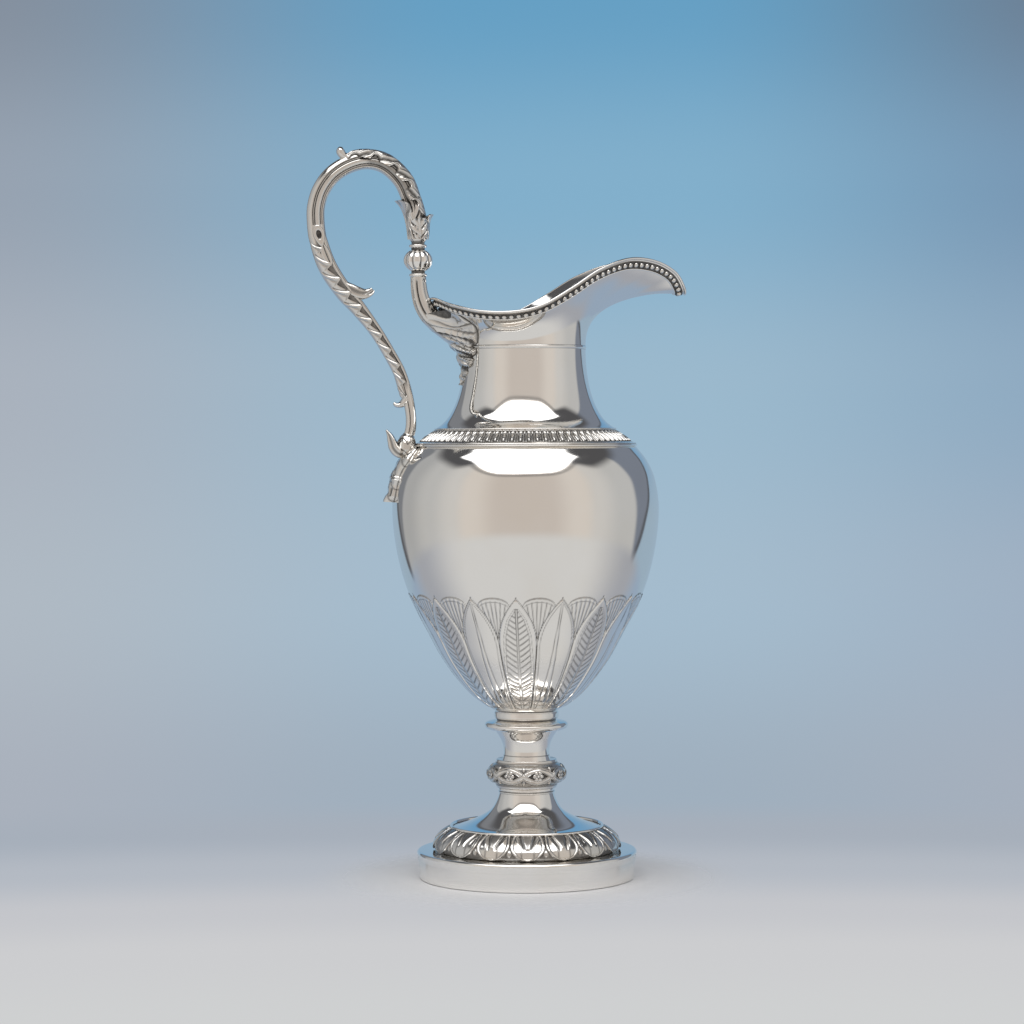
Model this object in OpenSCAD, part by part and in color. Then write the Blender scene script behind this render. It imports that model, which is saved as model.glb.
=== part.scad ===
// Tall footed silver water pitcher (ewer) with a high scrolled handle.
// Millimetres. +Z is up, the spout points along +X and the handle along -X.
// The origin is the centre of the plinth's resting face.

/* [Sheet] */
// Thickness of the raised silver sheet
wall = 1.2; // [0.8:0.1:1.6]

/* [Foot] */
// Radius of the plinth at its top edge
plinth_r = 60.2; // [58:0.2:64]
// Height of the plinth
plinth_h = 15.2; // [13:0.2:17]
// Widest radius of the leaf border that stands on the plinth
border_r = 51.6; // [50:0.2:53]
// Height of the leaf border
border_h = 12.3; // [11:0.1:14]
// Number of leaves in the foot border
border_leaves = 16; // [12:1:20]
// Height of the trumpet-shaped dome above the border
dome_h = 18.1; // [16:0.1:20]
// Radius at the top of the dome
dome_top_r = 15.1; // [14.6:0.1:15.4]

/* [Stem] */
// Height of the plain collar below the knop
collar_h = 3.7; // [3:0.1:5]
// Largest radius of the knop
knop_r = 21.6; // [20:0.2:23]
// Height of the knop
knop_h = 14; // [12:0.2:16]
// Number of rosettes round the knop
rosettes = 8; // [6:1:10]
// Height of the waisted spool above the knop
spool_h = 16.5; // [14:0.1:19]
// Smallest radius of the spool
spool_r = 12.5; // [12.3:0.1:13]
// Radius of the flange on top of the spool
flange_r = 22.9; // [21:0.1:25]
// Height of the flange
flange_h = 5.8; // [5:0.1:7]
// Height of the collar under the body
body_collar_h = 5.8; // [5:0.1:7]

/* [Body] */
// Largest radius of the body
body_r = 72.9; // [68:0.1:76]
// Height of the body, from its collar to its shoulder wire
body_h = 144; // [135:1:150]
// Height of the decorated shoulder band
band_h = 7; // [6:0.1:8]

/* [Neck and lip] */
// Height of the neck, from the shoulder band to the seam ring
neck_h = 44.9; // [42:0.1:48]
// Smallest radius of the neck
neck_r = 33.2; // [31:0.1:35]
// Forward reach of the spout tip from the axis
spout_x = 88.5; // [84:0.5:92]
// Height of the lip's crest above the seam ring
crest_h = 45.3; // [40:0.1:48]
// Spacing of the beads along the rim
bead_pitch = 3.95; // [3.6:0.05:4.4]
// Radius of one bead
bead_r = 1.3; // [1.1:0.05:1.5]

/* [Handle] */
// Half the thickness of the arched top of the handle
arch_r = 4.9; // [4.4:0.1:5.4]
// Half the thickness of the plain lower end of the handle
tail_r = 2.9; // [2.6:0.1:3.3]
// Widest radius of the fluted ball
ball_r = 8; // [7:0.1:9]
// Number of lobes on the fluted ball
ball_lobes = 10; // [8:1:16]

/* [Hidden] */

$fn = 96;
silver = [0.80, 0.79, 0.77];
bright = [0.88, 0.87, 0.85];
shade = [0.68, 0.67, 0.66];

// Heights of the joints between the pieces, from the floor up
border_z = plinth_h;
fillet_z = border_z + border_h;
fillet_h = 1.6;
dome_z = fillet_z + fillet_h / 2;
collar_z = dome_z + dome_h;
knop_z = collar_z + collar_h;
spool_z = knop_z + knop_h;
flange_z = spool_z + spool_h;
body_collar_z = flange_z + flange_h;
body_z = body_collar_z + body_collar_h;
wire_h = 2;
wire_z = body_z + body_h;
band_z = wire_z + wire_h;
neck_wire_z = band_z + band_h;
neck_wire_h = 0.9;
neck_z = neck_wire_z + neck_wire_h;
lip_z = neck_z + neck_h;
stem_bore = 12;

// ---- Curves ----

// One point of the smooth curve from b to c, with neighbours a and d
function blend4(a, b, c, d, t) =
  b + 0.5 * t * ((c - a) + t * ((2 * a - 5 * b + 4 * c - d) + t * (3 * (b - c) + d - a)));

// Point i of list p, carried on past either end in a straight line
function carried(p, i) =
  i < 0 ? 2 * p[0] - p[1]
  : i >= len(p) ? 2 * p[len(p) - 1] - p[len(p) - 2]
  : p[i];

// A smooth curve through the points of p, with n steps between neighbours
function smooth(p, n) = concat(
  [
    for (i = [0 : len(p) - 2], k = [0 : n - 1])
      blend4(carried(p, i - 1), p[i], p[i + 1], carried(p, i + 2), k / n)
  ],
  [p[len(p) - 1]]
);

// Cubic Bezier point
function bezier(a, b, c, d, t) =
  pow(1 - t, 3) * a + 3 * pow(1 - t, 2) * t * b + 3 * (1 - t) * t * t * c + pow(t, 3) * d;

function unit(v) = v / norm(v);
function backwards(p) = [for (i = [len(p) - 1 : -1 : 0]) p[i]];
function heading(p, i) = unit(p[min(i + 1, len(p) - 1)] - p[max(i - 1, 0)]);

// A rising outline moved towards the axis by t, with its two ends kept level
function inset(p, t) = [
  for (i = [0 : len(p) - 1])
    let (h = heading(p, i))
      i == 0 || i == len(p) - 1
        ? [p[i][0] - t / max(abs(h[1]), 0.45), p[i][1]]
        : p[i] + t * [-h[1], h[0]]
];

// A turned sheet of thickness t whose outer face follows the rising outline p
module turned_sheet(p, t = wall) {
  rotate_extrude() polygon(concat(p, backwards(inset(p, t))));
}

// A turned ring between the bore radius and the rising outline p
module turned_ring(p, bore) {
  top = p[len(p) - 1];
  rotate_extrude() polygon(concat([[bore, p[0][1]]], p, [[bore, top[1]]]));
}

// ---- Swept solids ----

// Triangles that join ring after ring of n points, with both ends closed
function skin(rings, n) = concat(
  [for (i = [0 : rings - 2], j = [0 : n - 1]) [i * n + j, (i + 1) * n + j, i * n + (j + 1) % n]],
  [
    for (i = [0 : rings - 2], j = [0 : n - 1])
      [i * n + (j + 1) % n, (i + 1) * n + j, (i + 1) * n + (j + 1) % n]
  ],
  [for (j = [1 : n - 2]) [0, j, j + 1]],
  [for (j = [1 : n - 2]) let (e = (rings - 1) * n) [e, e + j + 1, e + j]]
);

module sweep(rings) {
  n = len(rings[0]);
  polyhedron(points = [for (r = rings) each r], faces = skin(len(rings), n));
}

// The same, for a closed band of sections that returns to its start
module closed_sweep(rings) {
  n = len(rings[0]);
  m = len(rings);
  faces = [
    for (i = [0 : m - 1], j = [0 : n - 1], half = [0, 1])
      let (a = i * n, b = ((i + 1) % m) * n, k = (j + 1) % n)
        half == 0 ? [a + j, b + j, a + k] : [a + k, b + j, b + k]
  ];
  polyhedron(points = [for (r = rings) each r], faces = faces);
}

// Direction in the handle's plane, at right angles to the path, on its left
function side(path, i) = let (h = heading(path, i)) [-h[1], h[0]];

// Rod along stations [x, z, half thickness]; depth is its half width across over half thickness
function rod_rings(stations, depth, sides = 12) =
  let (path = [for (s = stations) [s[0], s[1]]])
    [
      for (i = [0 : len(path) - 1])
        [
          for (k = [0 : sides - 1])
            let (a = 360 * k / sides, s = side(path, i), r = stations[i][2])
              [path[i][0] + r * cos(a) * s[0], r * depth * sin(a), path[i][1] + r * cos(a) * s[1]]
        ]
    ];

// Leaf wrapped on a rod: stations [x, z, rod half thickness, leaf thickness, half angle it spans],
// turned by the angle facing from the path's left side
function leaf_rings(stations, facing, depth, steps = 6) =
  let (path = [for (s = stations) [s[0], s[1]]])
    [
      for (i = [0 : len(path) - 1])
        let (
          s = side(path, i),
          st = stations[i],
          arc = [for (k = [0 : steps]) facing + st[4] * (2 * k / steps - 1)],
          outer = [for (a = arc) [a, st[2] + st[3] * (0.35 + 0.65 * cos((a - facing) * 90 / st[4]))]],
          inner = [for (a = backwards(arc)) [a, st[2]]]
        )
          [
            for (q = concat(outer, inner))
              [
                path[i][0] + q[1] * cos(q[0]) * s[0],
                q[1] * depth * sin(q[0]),
                path[i][1] + q[1] * cos(q[0]) * s[1]
              ]
          ]
    ];

// ---- Outlines of the turned pieces, each [radius, height] from the bottom up ----

border_line = [
  for (k = [0 : 10])
    bezier(
      [border_r - 2.4, border_z], [border_r + 1.4, border_z + 1.5],
      [border_r - 0.4, border_z + 0.66 * border_h], [border_r - 10.2, fillet_z], k / 10
    )
];

dome_line = smooth([
  [border_r - 10.9, dome_z],
  [border_r - 19.6, dome_z + 0.14 * dome_h],
  [dome_top_r + 5.7, dome_z + 0.45 * dome_h],
  [dome_top_r + 1.7, dome_z + 0.74 * dome_h],
  [dome_top_r, collar_z]
], 5);

knop_line = [
  for (k = [0 : 12])
    let (a = -68 + 136 * k / 12, mid = knop_z + knop_h / 2)
      [knop_r - 9 + 9 * cos(a), mid + knop_h / 2 * sin(a) / sin(68)]
];

spool_line = smooth([
  [spool_r + 1.1, spool_z],
  [spool_r, spool_z + 0.24 * spool_h],
  [spool_r + 1.1, spool_z + 0.63 * spool_h],
  [spool_r + 4.6, flange_z]
], 5);

// The body's swelling form, as shares of its largest radius and of its height
body_form = [
  [0.252, 0], [0.428, 0.069], [0.606, 0.183], [0.731, 0.297], [0.883, 0.449],
  [0.967, 0.601], [1, 0.753], [0.974, 0.868], [0.912, 0.944], [0.826, 1]
];
body_line = smooth([for (s = body_form) [s[0] * body_r, body_z + s[1] * body_h]], 4);
body_top_r = body_line[len(body_line) - 1][0];
band_foot_r = body_top_r - 1;
band_top_r = band_foot_r - 9.8;

neck_line = concat(
  [
    for (k = [0 : 11])
      bezier(
        [band_top_r - 0.6, neck_z], [neck_r + 6, neck_z + 5],
        [neck_r, neck_z + 20], [neck_r, neck_z + 41], k / 11
      )
  ],
  [[neck_r, lip_z]]
);

// ---- Lip ----

// Half of the rim from the spout tip to the back, and how the wall reaches it:
// [x, y, height above the seam, rise of the wall's root,
//  then how far the wall's upper handle lies inward in x, inward in y, and down from the rim]
rim_half = [
  [spout_x, 0, 28.5, 26, 27, 0, -1.5],
  [spout_x - 1.2, 4.5, 32, 26, 22, 0.5, 5],
  [spout_x - 7.5, 11, 39.5, 27, 15, 2, 11.5],
  [spout_x - 20, 18.5, crest_h - 0.5, 27, 7.5, 3, 15],
  [spout_x - 36, 27, crest_h, 26, 4, 4.5, 15],
  [spout_x - 53.5, 35.5, 39, 22, 2.5, 5.5, 13],
  [19, 42, 29, 16, 1.5, 5.5, 9],
  [3, 45.5, 20, 11, 0.5, 6, 5],
  [-12, 46, 16.3, 9, -0.5, 6, 4],
  [-29, 39, 16.6, 9, -3, 5, 4],
  [-43, 25, 20.5, 12, -5, 3.5, 6],
  [-49.5, 10, 24.3, 13, -6.5, 1.5, 7],
  [-51, 0, 25, 13, -7, 0, 7]
];
function mirrored(s) = [s[0], -s[1], s[2], s[3], s[4], -s[5], s[6]];
rim_last = len(rim_half) - 1;
rim_loop = concat(rim_half, [for (i = [rim_last - 1 : -1 : 1]) mirrored(rim_half[i])]);
rim_n = len(rim_loop);
function rim_station(i) = rim_loop[(i + rim_n) % rim_n];

// Rim values at place s round the loop, counted in stations
function rim_at(s) =
  let (i = floor(s))
    blend4(rim_station(i - 1), rim_station(i), rim_station(i + 1), rim_station(i + 2), s - i);

function rim_point(s) = let (r = rim_at(s)) [r[0], r[1], lip_z + r[2]];

// A point of the lip's outer face: v is 0 at the seam and 1 at the rim
function lip_point(s, v) =
  let (
    r = rim_at(s),
    top = rim_point(s),
    round = atan2(top[1], top[0]),
    root = [neck_r * cos(round), neck_r * sin(round), lip_z]
  )
    bezier(root, root + [0, 0, r[3]], top - [r[4], r[5], r[6]], top, v);

function lip_normal(s, v) =
  let (
    u = lip_point(s + 0.02, v) - lip_point(s - 0.02, v),
    w = lip_point(s, min(v + 0.01, 1)) - lip_point(s, max(v - 0.01, 0))
  )
    unit(cross(u, w));

// Way down the wall at the rim
function rim_down(s) = unit(lip_point(s, 0.97) - lip_point(s, 1));

lip_steps = 3;
lip_rows = 8;
rim_places = [for (k = [0 : rim_n * lip_steps - 1]) k / lip_steps];

// Place on the rim at an angle seen from above, counted from the spout tip
rim_turns = [for (s = rim_places) let (p = rim_point(s)) [(atan2(p[1], p[0]) + 360) % 360, s]];
function rim_place_at(angle) = lookup(angle, rim_turns);

// Distance along the rim, against place
rim_fine = [for (k = [0 : rim_n * 8]) k / 8];
rim_runs = [for (k = [1 : len(rim_fine) - 1]) norm(rim_point(rim_fine[k]) - rim_point(rim_fine[k - 1]))];
function total(v, i) = i < 0 ? 0 : v[i] + total(v, i - 1);
rim_distance = [for (k = [0 : len(rim_fine) - 1]) [total(rim_runs, k - 1), rim_fine[k]]];
rim_length = rim_distance[len(rim_distance) - 1][0];
bead_count = round(rim_length / bead_pitch);

strip_t = 0.6;
strip_top = 0.7;
strip_w = 4.2;
rim_wire_r = 0.75;
lower_wire_r = 0.45;

// A point beside the rim: so far down the wall, and so far out of its outer face
function beside_rim(s, down, out) =
  rim_point(s) + down * rim_down(s) + out * lip_normal(s, 1);

// ---- Handle stations: [x, z, half thickness] ----

arch_stations = [
  [-58.5, 352, arch_r - 0.8], [-59.4, 360, arch_r - 0.5], [-61.8, 368, arch_r - 0.3],
  [-67, 380.3, arch_r], [-76, 388.8, arch_r], [-86, 391.3, arch_r], [-96, 389, arch_r],
  [-105, 383.2, arch_r], [-111, 375, arch_r], [-113.8, 366, arch_r], [-114, 357.5, arch_r],
  [-113, 349, arch_r]
];
tail_stations = [
  [-113, 349, arch_r], [-107.6, 334.1, arch_r], [-98.9, 320.6, arch_r - 0.3],
  [-91, 311.5, arch_r - 0.9], [-81.7, 299.3, tail_r + 0.3], [-74.7, 287.9, tail_r + 0.2],
  [-68.9, 277, tail_r + 0.3], [-65.3, 266, tail_r + 0.3], [-63.1, 255.4, tail_r],
  [-62.9, 247, tail_r], [-64.6, 240.5, tail_r]
];
stem_x = -58.5;
stem_top_z = 328.2;
ring_h = 2.2;
ball_h = 11.6;
ball_z = stem_top_z + ring_h + 1;
upper_ring_z = ball_z + ball_h + 1;
cup_z = upper_ring_z + ring_h;
cup_top_z = 352;
ring_r = 4.9;

// Radius of a turned outline at height z
function radius_at(line, z) = lookup(z, [for (p = line) [p[1], p[0]]]);

// A slab that lies on a turned outline, opposite the spout: stations [z, half angle, thickness]
module slab_on(line, stations, steps = 6) {
  rings = [
    for (s = stations)
      let (
        r = radius_at(line, s[0]),
        arc = [for (k = [0 : steps]) 180 + s[1] * (1 - 2 * k / steps)]
      )
        concat(
          [
            for (a = arc)
              let (q = r + s[2] * (0.4 + 0.6 * cos((a - 180) * 90 / s[1])))
                [q * cos(a), q * sin(a), s[0]]
          ],
          [for (a = backwards(arc)) [r * cos(a), r * sin(a), s[0]]]
        )
  ];
  sweep(rings);
}

// ---- Foot ----

module plinth() {
  lip_r = 1.4;
  foot_w = 3.5;
  foot_t = 2;
  rounding = [
    for (k = [0 : 4])
      [plinth_r - lip_r + lip_r * cos(22.5 * k), plinth_h - lip_r + lip_r * sin(22.5 * k)]
  ];
  color(bright) rotate_extrude() polygon(concat(
    [[plinth_r - 1.4 - foot_w, 0], [plinth_r - 1.4, 0]],
    rounding,
    [
      [border_r - 6, plinth_h], [border_r - 6, plinth_h - wall],
      [plinth_r - 1.6 - wall, plinth_h - wall], [plinth_r - 2 - wall, foot_t],
      [plinth_r - 1.4 - foot_w, foot_t]
    ]
  ));
}

module foot_border() {
  // Quarter-round moulding with a raised leaf at each share of the circle
  proud = 0.9;
  sections = border_leaves * 6;
  last = len(border_line) - 1;
  lining = inset(border_line, wall);
  color(silver) closed_sweep([
    for (j = [0 : sections - 1])
      let (turn = 360 * j / sections, leaf = abs(sin(turn * border_leaves / 2)))
        concat(
          [
            for (k = [0 : last])
              let (rise = proud * leaf * sin(180 * k / last), p = border_line[k])
                [(p[0] + rise) * cos(turn), (p[0] + rise) * sin(turn), p[1]]
          ],
          [for (k = [last : -1 : 0]) [lining[k][0] * cos(turn), lining[k][0] * sin(turn), lining[k][1]]]
        )
  ]);
}

module foot_fillet_wire() {
  r = fillet_h / 2;
  color(bright) translate([0, 0, fillet_z + r]) rotate_extrude()
    translate([border_r - 10.2, 0]) circle(r, $fn = 24);
}

module foot_dome() {
  color(bright) turned_sheet(dome_line);
}

// ---- Stem ----

module stem_collar() {
  r = dome_top_r + 0.5;
  color(silver) turned_ring([
    [r - 0.5, collar_z], [r, collar_z + 0.3], [r, collar_z + 0.8], [r - 0.7, collar_z + 1],
    [r - 0.7, collar_z + 1.3], [r, collar_z + 1.6], [r, knop_z - 0.3], [r - 0.4, knop_z]
  ], stem_bore);
}

module knop() {
  color(shade) turned_ring(knop_line, stem_bore);
}

module knop_rosettes() {
  petals = 6;
  first_turn = 9;
  color(bright) for (k = [0 : rosettes - 1])
    rotate([0, 0, first_turn + 360 * k / rosettes])
      translate([knop_r, 0, knop_z + knop_h / 2])
        rotate([0, 90, 0]) {
          cylinder(r = 1, h = 0.9, $fn = 24);
          for (p = [0 : petals - 1])
            rotate([0, 0, 360 * p / petals])
              translate([1.7, 0, 0])
                cylinder(r = 0.85, h = 0.5, $fn = 24);
        }
}

module stem_spool() {
  color(bright) turned_sheet(spool_line);
}

module stem_flange() {
  edge_z = flange_z + 2;
  color(silver) turned_ring([
    [spool_r + 5, flange_z], [flange_r - 1.2, edge_z - 0.9], [flange_r, edge_z],
    [flange_r, edge_z + 0.9], [flange_r - 1.4, edge_z + 2.2], [flange_r - 3.6, edge_z + 3.1],
    [flange_r - 5.6, body_collar_z]
  ], stem_bore + 2);
}

module body_collar() {
  r = flange_r - 5.5;
  mid = body_collar_z + body_collar_h / 2;
  color(bright) turned_ring([
    [r - 1.2, body_collar_z], [r - 1.2, body_collar_z + 0.7], [r, body_collar_z + 1.3], [r + 0.3, mid],
    [r, body_z - 1.3], [r - 1.2, body_z - 0.7], [r - 1.2, body_z]
  ], stem_bore + 2);
}

// ---- Body ----

module body() {
  inner = inset(body_line, wall);
  last = len(body_line) - 1;
  lining = [for (i = [last : -1 : 1]) inner[i]];
  color(bright) rotate_extrude() polygon(concat(
    [[0, body_z]], body_line, lining, [[inner[1][0] - 3, body_z + wall], [0, body_z + wall]]
  ));
}

module shoulder_wire() {
  color(bright) turned_ring([
    [body_top_r, wire_z], [body_top_r + 0.9, wire_z + 0.35], [body_top_r + 1, wire_z + 0.9],
    [body_top_r + 0.4, wire_z + 1.5], [band_foot_r, band_z]
  ], band_foot_r - 2.4);
}

module shoulder_band() {
  color(shade) turned_sheet([[band_foot_r, band_z], [band_top_r, neck_wire_z]]);
}

module neck_foot_wire() {
  color(bright) turned_ring([
    [band_top_r, neck_wire_z], [band_top_r + 0.5, neck_wire_z + 0.45], [band_top_r - 0.4, neck_z]
  ], band_top_r - 2.6);
}

module neck() {
  color(bright) turned_sheet(neck_line);
}

module neck_seam_ring() {
  h = 1.1;
  z = lip_z - 2.2;
  color(silver) turned_ring([
    [neck_r, z], [neck_r + 0.8, z + 0.5], [neck_r + 1, z + h], [neck_r + 0.8, z + 2 * h - 0.5],
    [neck_r, z + 2 * h]
  ], neck_r);
}

// ---- Lip and rim ----

module lip() {
  rows = [for (i = [0 : lip_rows]) i / lip_rows];
  color(bright) closed_sweep([
    for (s = rim_places)
      concat(
        [for (v = rows) lip_point(s, v)],
        [
          for (v = backwards(rows))
            let (n = v == 0 ? unit(lip_point(s, 0) - [0, 0, lip_z]) : lip_normal(s, v))
              lip_point(s, v) - wall * n
        ]
      )
  ]);
}

module rim_strip() {
  color(shade) closed_sweep([
    for (s = rim_places)
      [
        beside_rim(s, strip_top, 0), beside_rim(s, strip_top, strip_t),
        beside_rim(s, strip_top + strip_w, strip_t), beside_rim(s, strip_top + strip_w, 0)
      ]
  ]);
}

// A half ball with its flat back on the strip
module bead() {
  rotate_extrude($fn = 24) intersection() {
    circle(bead_r, $fn = 24);
    square(bead_r);
  }
}

module rim_beads() {
  color(bright) for (k = [0 : bead_count - 1]) {
    s = lookup((k + 0.5) * rim_length / bead_count, rim_distance);
    n = lip_normal(s, 1);
    tilt = acos(n[2]);
    spin = atan2(n[1], n[0]);
    translate(beside_rim(s, strip_top + strip_w / 2, strip_t)) rotate([0, tilt, spin]) bead();
  }
}

// A round wire carried along the rim, so far down the wall and so far out of it
module rim_wire(r, down, out, sides = 8) {
  closed_sweep([
    for (s = rim_places)
      let (c = beside_rim(s, down, out), n = lip_normal(s, 1), d = rim_down(s))
        [for (k = [0 : sides - 1]) let (a = 360 * k / sides) c + r * cos(a) * n - r * sin(a) * d]
  ]);
}

module rim_top_wire() {
  color(bright) rim_wire(rim_wire_r, -rim_wire_r, -0.1);
}

module rim_lower_wire() {
  color(bright) rim_wire(lower_wire_r, strip_top + strip_w + lower_wire_r, lower_wire_r);
}

// ---- Handle, from its upper root round to the shoulder ----

module handle_mount() {
  // Leaf-shaped root: its lower rows [z, half angle, thickness] lie on the neck, and its
  // upper rows [share of the lip's height, half angle, thickness] under the flaring lip
  on_neck = [
    [271, 3, 0.8], [274, 7, 1.6], [279, 13, 2.6], [284, 20, 3.4], [288, 26, 4.2], [291, 29, 5]
  ];
  on_lip = [[0.14, 29, 5.4], [0.28, 29, 5.8], [0.42, 28, 6], [0.54, 27, 5.4], [0.64, 24, 4]];
  steps = 8;
  function arc(half) = [for (k = [0 : steps]) half * (1 - 2 * k / steps)];
  function swell(a, half) = 0.4 + 0.6 * cos(a * 90 / half);
  color(silver) sweep(concat(
    [
      for (row = on_neck)
        let (r = radius_at(neck_line, min(row[0], lip_z)), z = min(row[0], lip_z))
          concat(
            [
              for (a = arc(row[1]))
                let (q = r + row[2] * swell(a, row[1])) [q * cos(180 + a), q * sin(180 + a), z]
            ],
            [for (a = backwards(arc(row[1]))) [r * cos(180 + a), r * sin(180 + a), z]]
          )
    ],
    [
      for (row = on_lip)
        concat(
          [
            for (a = arc(row[1]))
              let (s = rim_place_at(180 + a))
                lip_point(s, row[0]) + lip_normal(s, row[0]) * row[2] * swell(a, row[1])
          ],
          [for (a = backwards(arc(row[1]))) lip_point(rim_place_at(180 + a), row[0])]
        )
    ]
  ));
}

module handle_stem() {
  stations = smooth([
    [stem_x, stem_top_z, 4.3], [stem_x + 0.8, 320, 4.6], [stem_x + 3.3, 312, 5],
    [stem_x + 7.3, 304.5, 5.6], [stem_x + 12.5, 299.5, 5.8]
  ], 4);
  color(silver) sweep(rod_rings(stations, 0.95));
}

// One plain ring with a rounded edge
module handle_ring(z) {
  translate([stem_x, 0, z]) cylinder(r = ring_r, h = ring_h);
}

module handle_lower_ring() {
  color(bright) {
    handle_ring(stem_top_z);
    translate([stem_x, 0, stem_top_z + ring_h]) cylinder(r = ring_r - 1.2, h = 1);
  }
}

module handle_ball() {
  // Melon-shaped ball whose lobes meet in shallow valleys
  sides = ball_lobes * 4;
  valley = 0.07;
  tall = 62;
  color(bright) translate([stem_x, 0, ball_z]) sweep([
    for (k = [0 : 10])
      let (a = tall * (k / 5 - 1), z = ball_h / 2 * (1 + sin(a) / sin(tall)))
        [
          for (j = [0 : sides - 1])
            let (
              turn = 360 * j / sides,
              r = ball_r * cos(a) * (1 - valley * (1 - abs(cos(turn * ball_lobes / 2))))
            )
              [r * cos(turn), r * sin(turn), z]
        ]
  ]);
}

module handle_upper_ring() {
  color(bright) {
    translate([stem_x, 0, upper_ring_z - 1]) cylinder(r = ring_r - 1.2, h = 1);
    handle_ring(upper_ring_z);
  }
}

module handle_leaf_cup() {
  color(silver) translate([stem_x, 0, 0]) rotate_extrude() polygon([
    [0, cup_z], [ring_r - 1.4, cup_z], [ring_r - 1.4, cup_z + 1], [ring_r - 0.3, cup_z + 2],
    [ring_r + 0.1, cup_top_z], [0, cup_top_z]
  ]);
}

module handle_arch() {
  color(silver) sweep(rod_rings(smooth(arch_stations, 4), 0.9, 14));
}

module handle_arch_leaf() {
  // Long leaf on the outer side of the arch, ending in a tip that curls up and away
  stations = smooth([
    [-59.8, 362, arch_r - 0.4, 2.2, 80], [-61.8, 368, arch_r - 0.3, 1.8, 80], [-67, 380.3, arch_r, 1.5, 75],
    [-76, 388.8, arch_r, 1.4, 70], [-86, 391.3, arch_r, 1.6, 62], [-94, 389.8, arch_r + 0.4, 1.8, 52],
    [-99.8, 390, arch_r, 2, 42], [-103, 392, arch_r - 1, 1.6, 36]
  ], 3);
  color(bright) sweep(leaf_rings(stations, 180, 0.95));
}

module handle_bud() {
  // Oval bud set on each face of the handle where arch and tail meet
  bud_r = 3.2;
  color(bright) for (face = [-1, 1])
    translate([-113, face * (arch_r * 0.9 - 0.4), 349]) rotate([-90 * face, 0, 0])
      cylinder(r1 = bud_r, r2 = bud_r - 1.4, h = 1.6);
}

module handle_thumb_leaf() {
  stations = smooth([
    [-99.5, 316.5, 3.2], [-94.5, 317, 3.2], [-90, 318, 2.4], [-86, 320.2, 1.4], [-84.4, 321, 0.6]
  ], 3);
  color(bright) sweep(rod_rings(stations, 1.2, 10));
}

module handle_tail() {
  color(silver) sweep(rod_rings(smooth(tail_stations, 4), 0.95, 12));
}

module handle_tail_leaf() {
  // Serrated leaf that runs down the outer side of the tail
  stations = smooth([
    [-111.6, 343.2, arch_r, 0.6, 40], [-107.6, 334.1, arch_r, 1.1, 60], [-98.9, 320.6, arch_r - 0.3, 1.1, 60],
    [-91, 311.5, arch_r - 0.9, 1, 60], [-81.7, 299.3, tail_r + 0.3, 0.9, 60],
    [-74.7, 287.9, tail_r + 0.2, 0.8, 60], [-68.9, 277, tail_r + 0.3, 0.7, 55],
    [-65.3, 266, tail_r + 0.3, 0.6, 45]
  ], 3);
  color(bright) sweep(leaf_rings(stations, 180, 0.95));
}

module handle_tail_curl() {
  stations = smooth([
    [-64.6, 260.5, 0.9], [-67.2, 258.2, 1.8], [-70, 256.8, 1.5], [-72.3, 257.9, 1.1], [-72.9, 259.4, 0.5]
  ], 3);
  color(bright) sweep(rod_rings(stations, 1.6, 10));
}

module handle_calyx() {
  stations = smooth([
    [-64.6, 240.5, tail_r + 0.2], [-65.8, 237.5, 3.7], [-66.6, 234.8, 3.8], [-66.2, 232.2, 2.8]
  ], 3);
  color(silver) sweep(rod_rings(stations, 1.2));
}

module terminal_leaf() {
  stations = smooth([
    [-69.5, 232.5, 1.6], [-72, 236, 2.1], [-74.2, 240, 1.9], [-76.2, 243.4, 1.3], [-77.4, 244.8, 0.5]
  ], 3);
  color(bright) sweep(rod_rings(stations, 2, 10));
}

module terminal_plate() {
  // Leaf-shaped plate on the shoulder, thickest where the handle lands and curling out at its foot
  color(silver) slab_on(body_line, [
    [206, 1.5, 1.2], [208, 3.4, 4], [211, 4.6, 3.8], [216, 6, 3], [221, 8, 2.6], [226, 10, 2.8],
    [230, 11, 3.4], [233, 10, 3.4], [236, 7, 2.4]
  ]);
}

plinth();
foot_border();
foot_fillet_wire();
foot_dome();
stem_collar();
knop();
knop_rosettes();
stem_spool();
stem_flange();
body_collar();
body();
shoulder_wire();
shoulder_band();
neck_foot_wire();
neck();
neck_seam_ring();
lip();
rim_strip();
rim_beads();
rim_top_wire();
rim_lower_wire();
handle_mount();
handle_stem();
handle_lower_ring();
handle_ball();
handle_upper_ring();
handle_leaf_cup();
handle_arch();
handle_arch_leaf();
handle_bud();
handle_thumb_leaf();
handle_tail();
handle_tail_leaf();
handle_tail_curl();
handle_calyx();
terminal_leaf();
terminal_plate();
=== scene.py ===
"""Silver water pitcher: the looks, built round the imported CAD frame.

Lengths here are millimetres until a mesh is made, then metres. +Z is up, the spout points
along +X and the handle along -X, as in the frame.
"""
import math

import bpy
import numpy as np
from mathutils import Matrix, Vector

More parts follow.
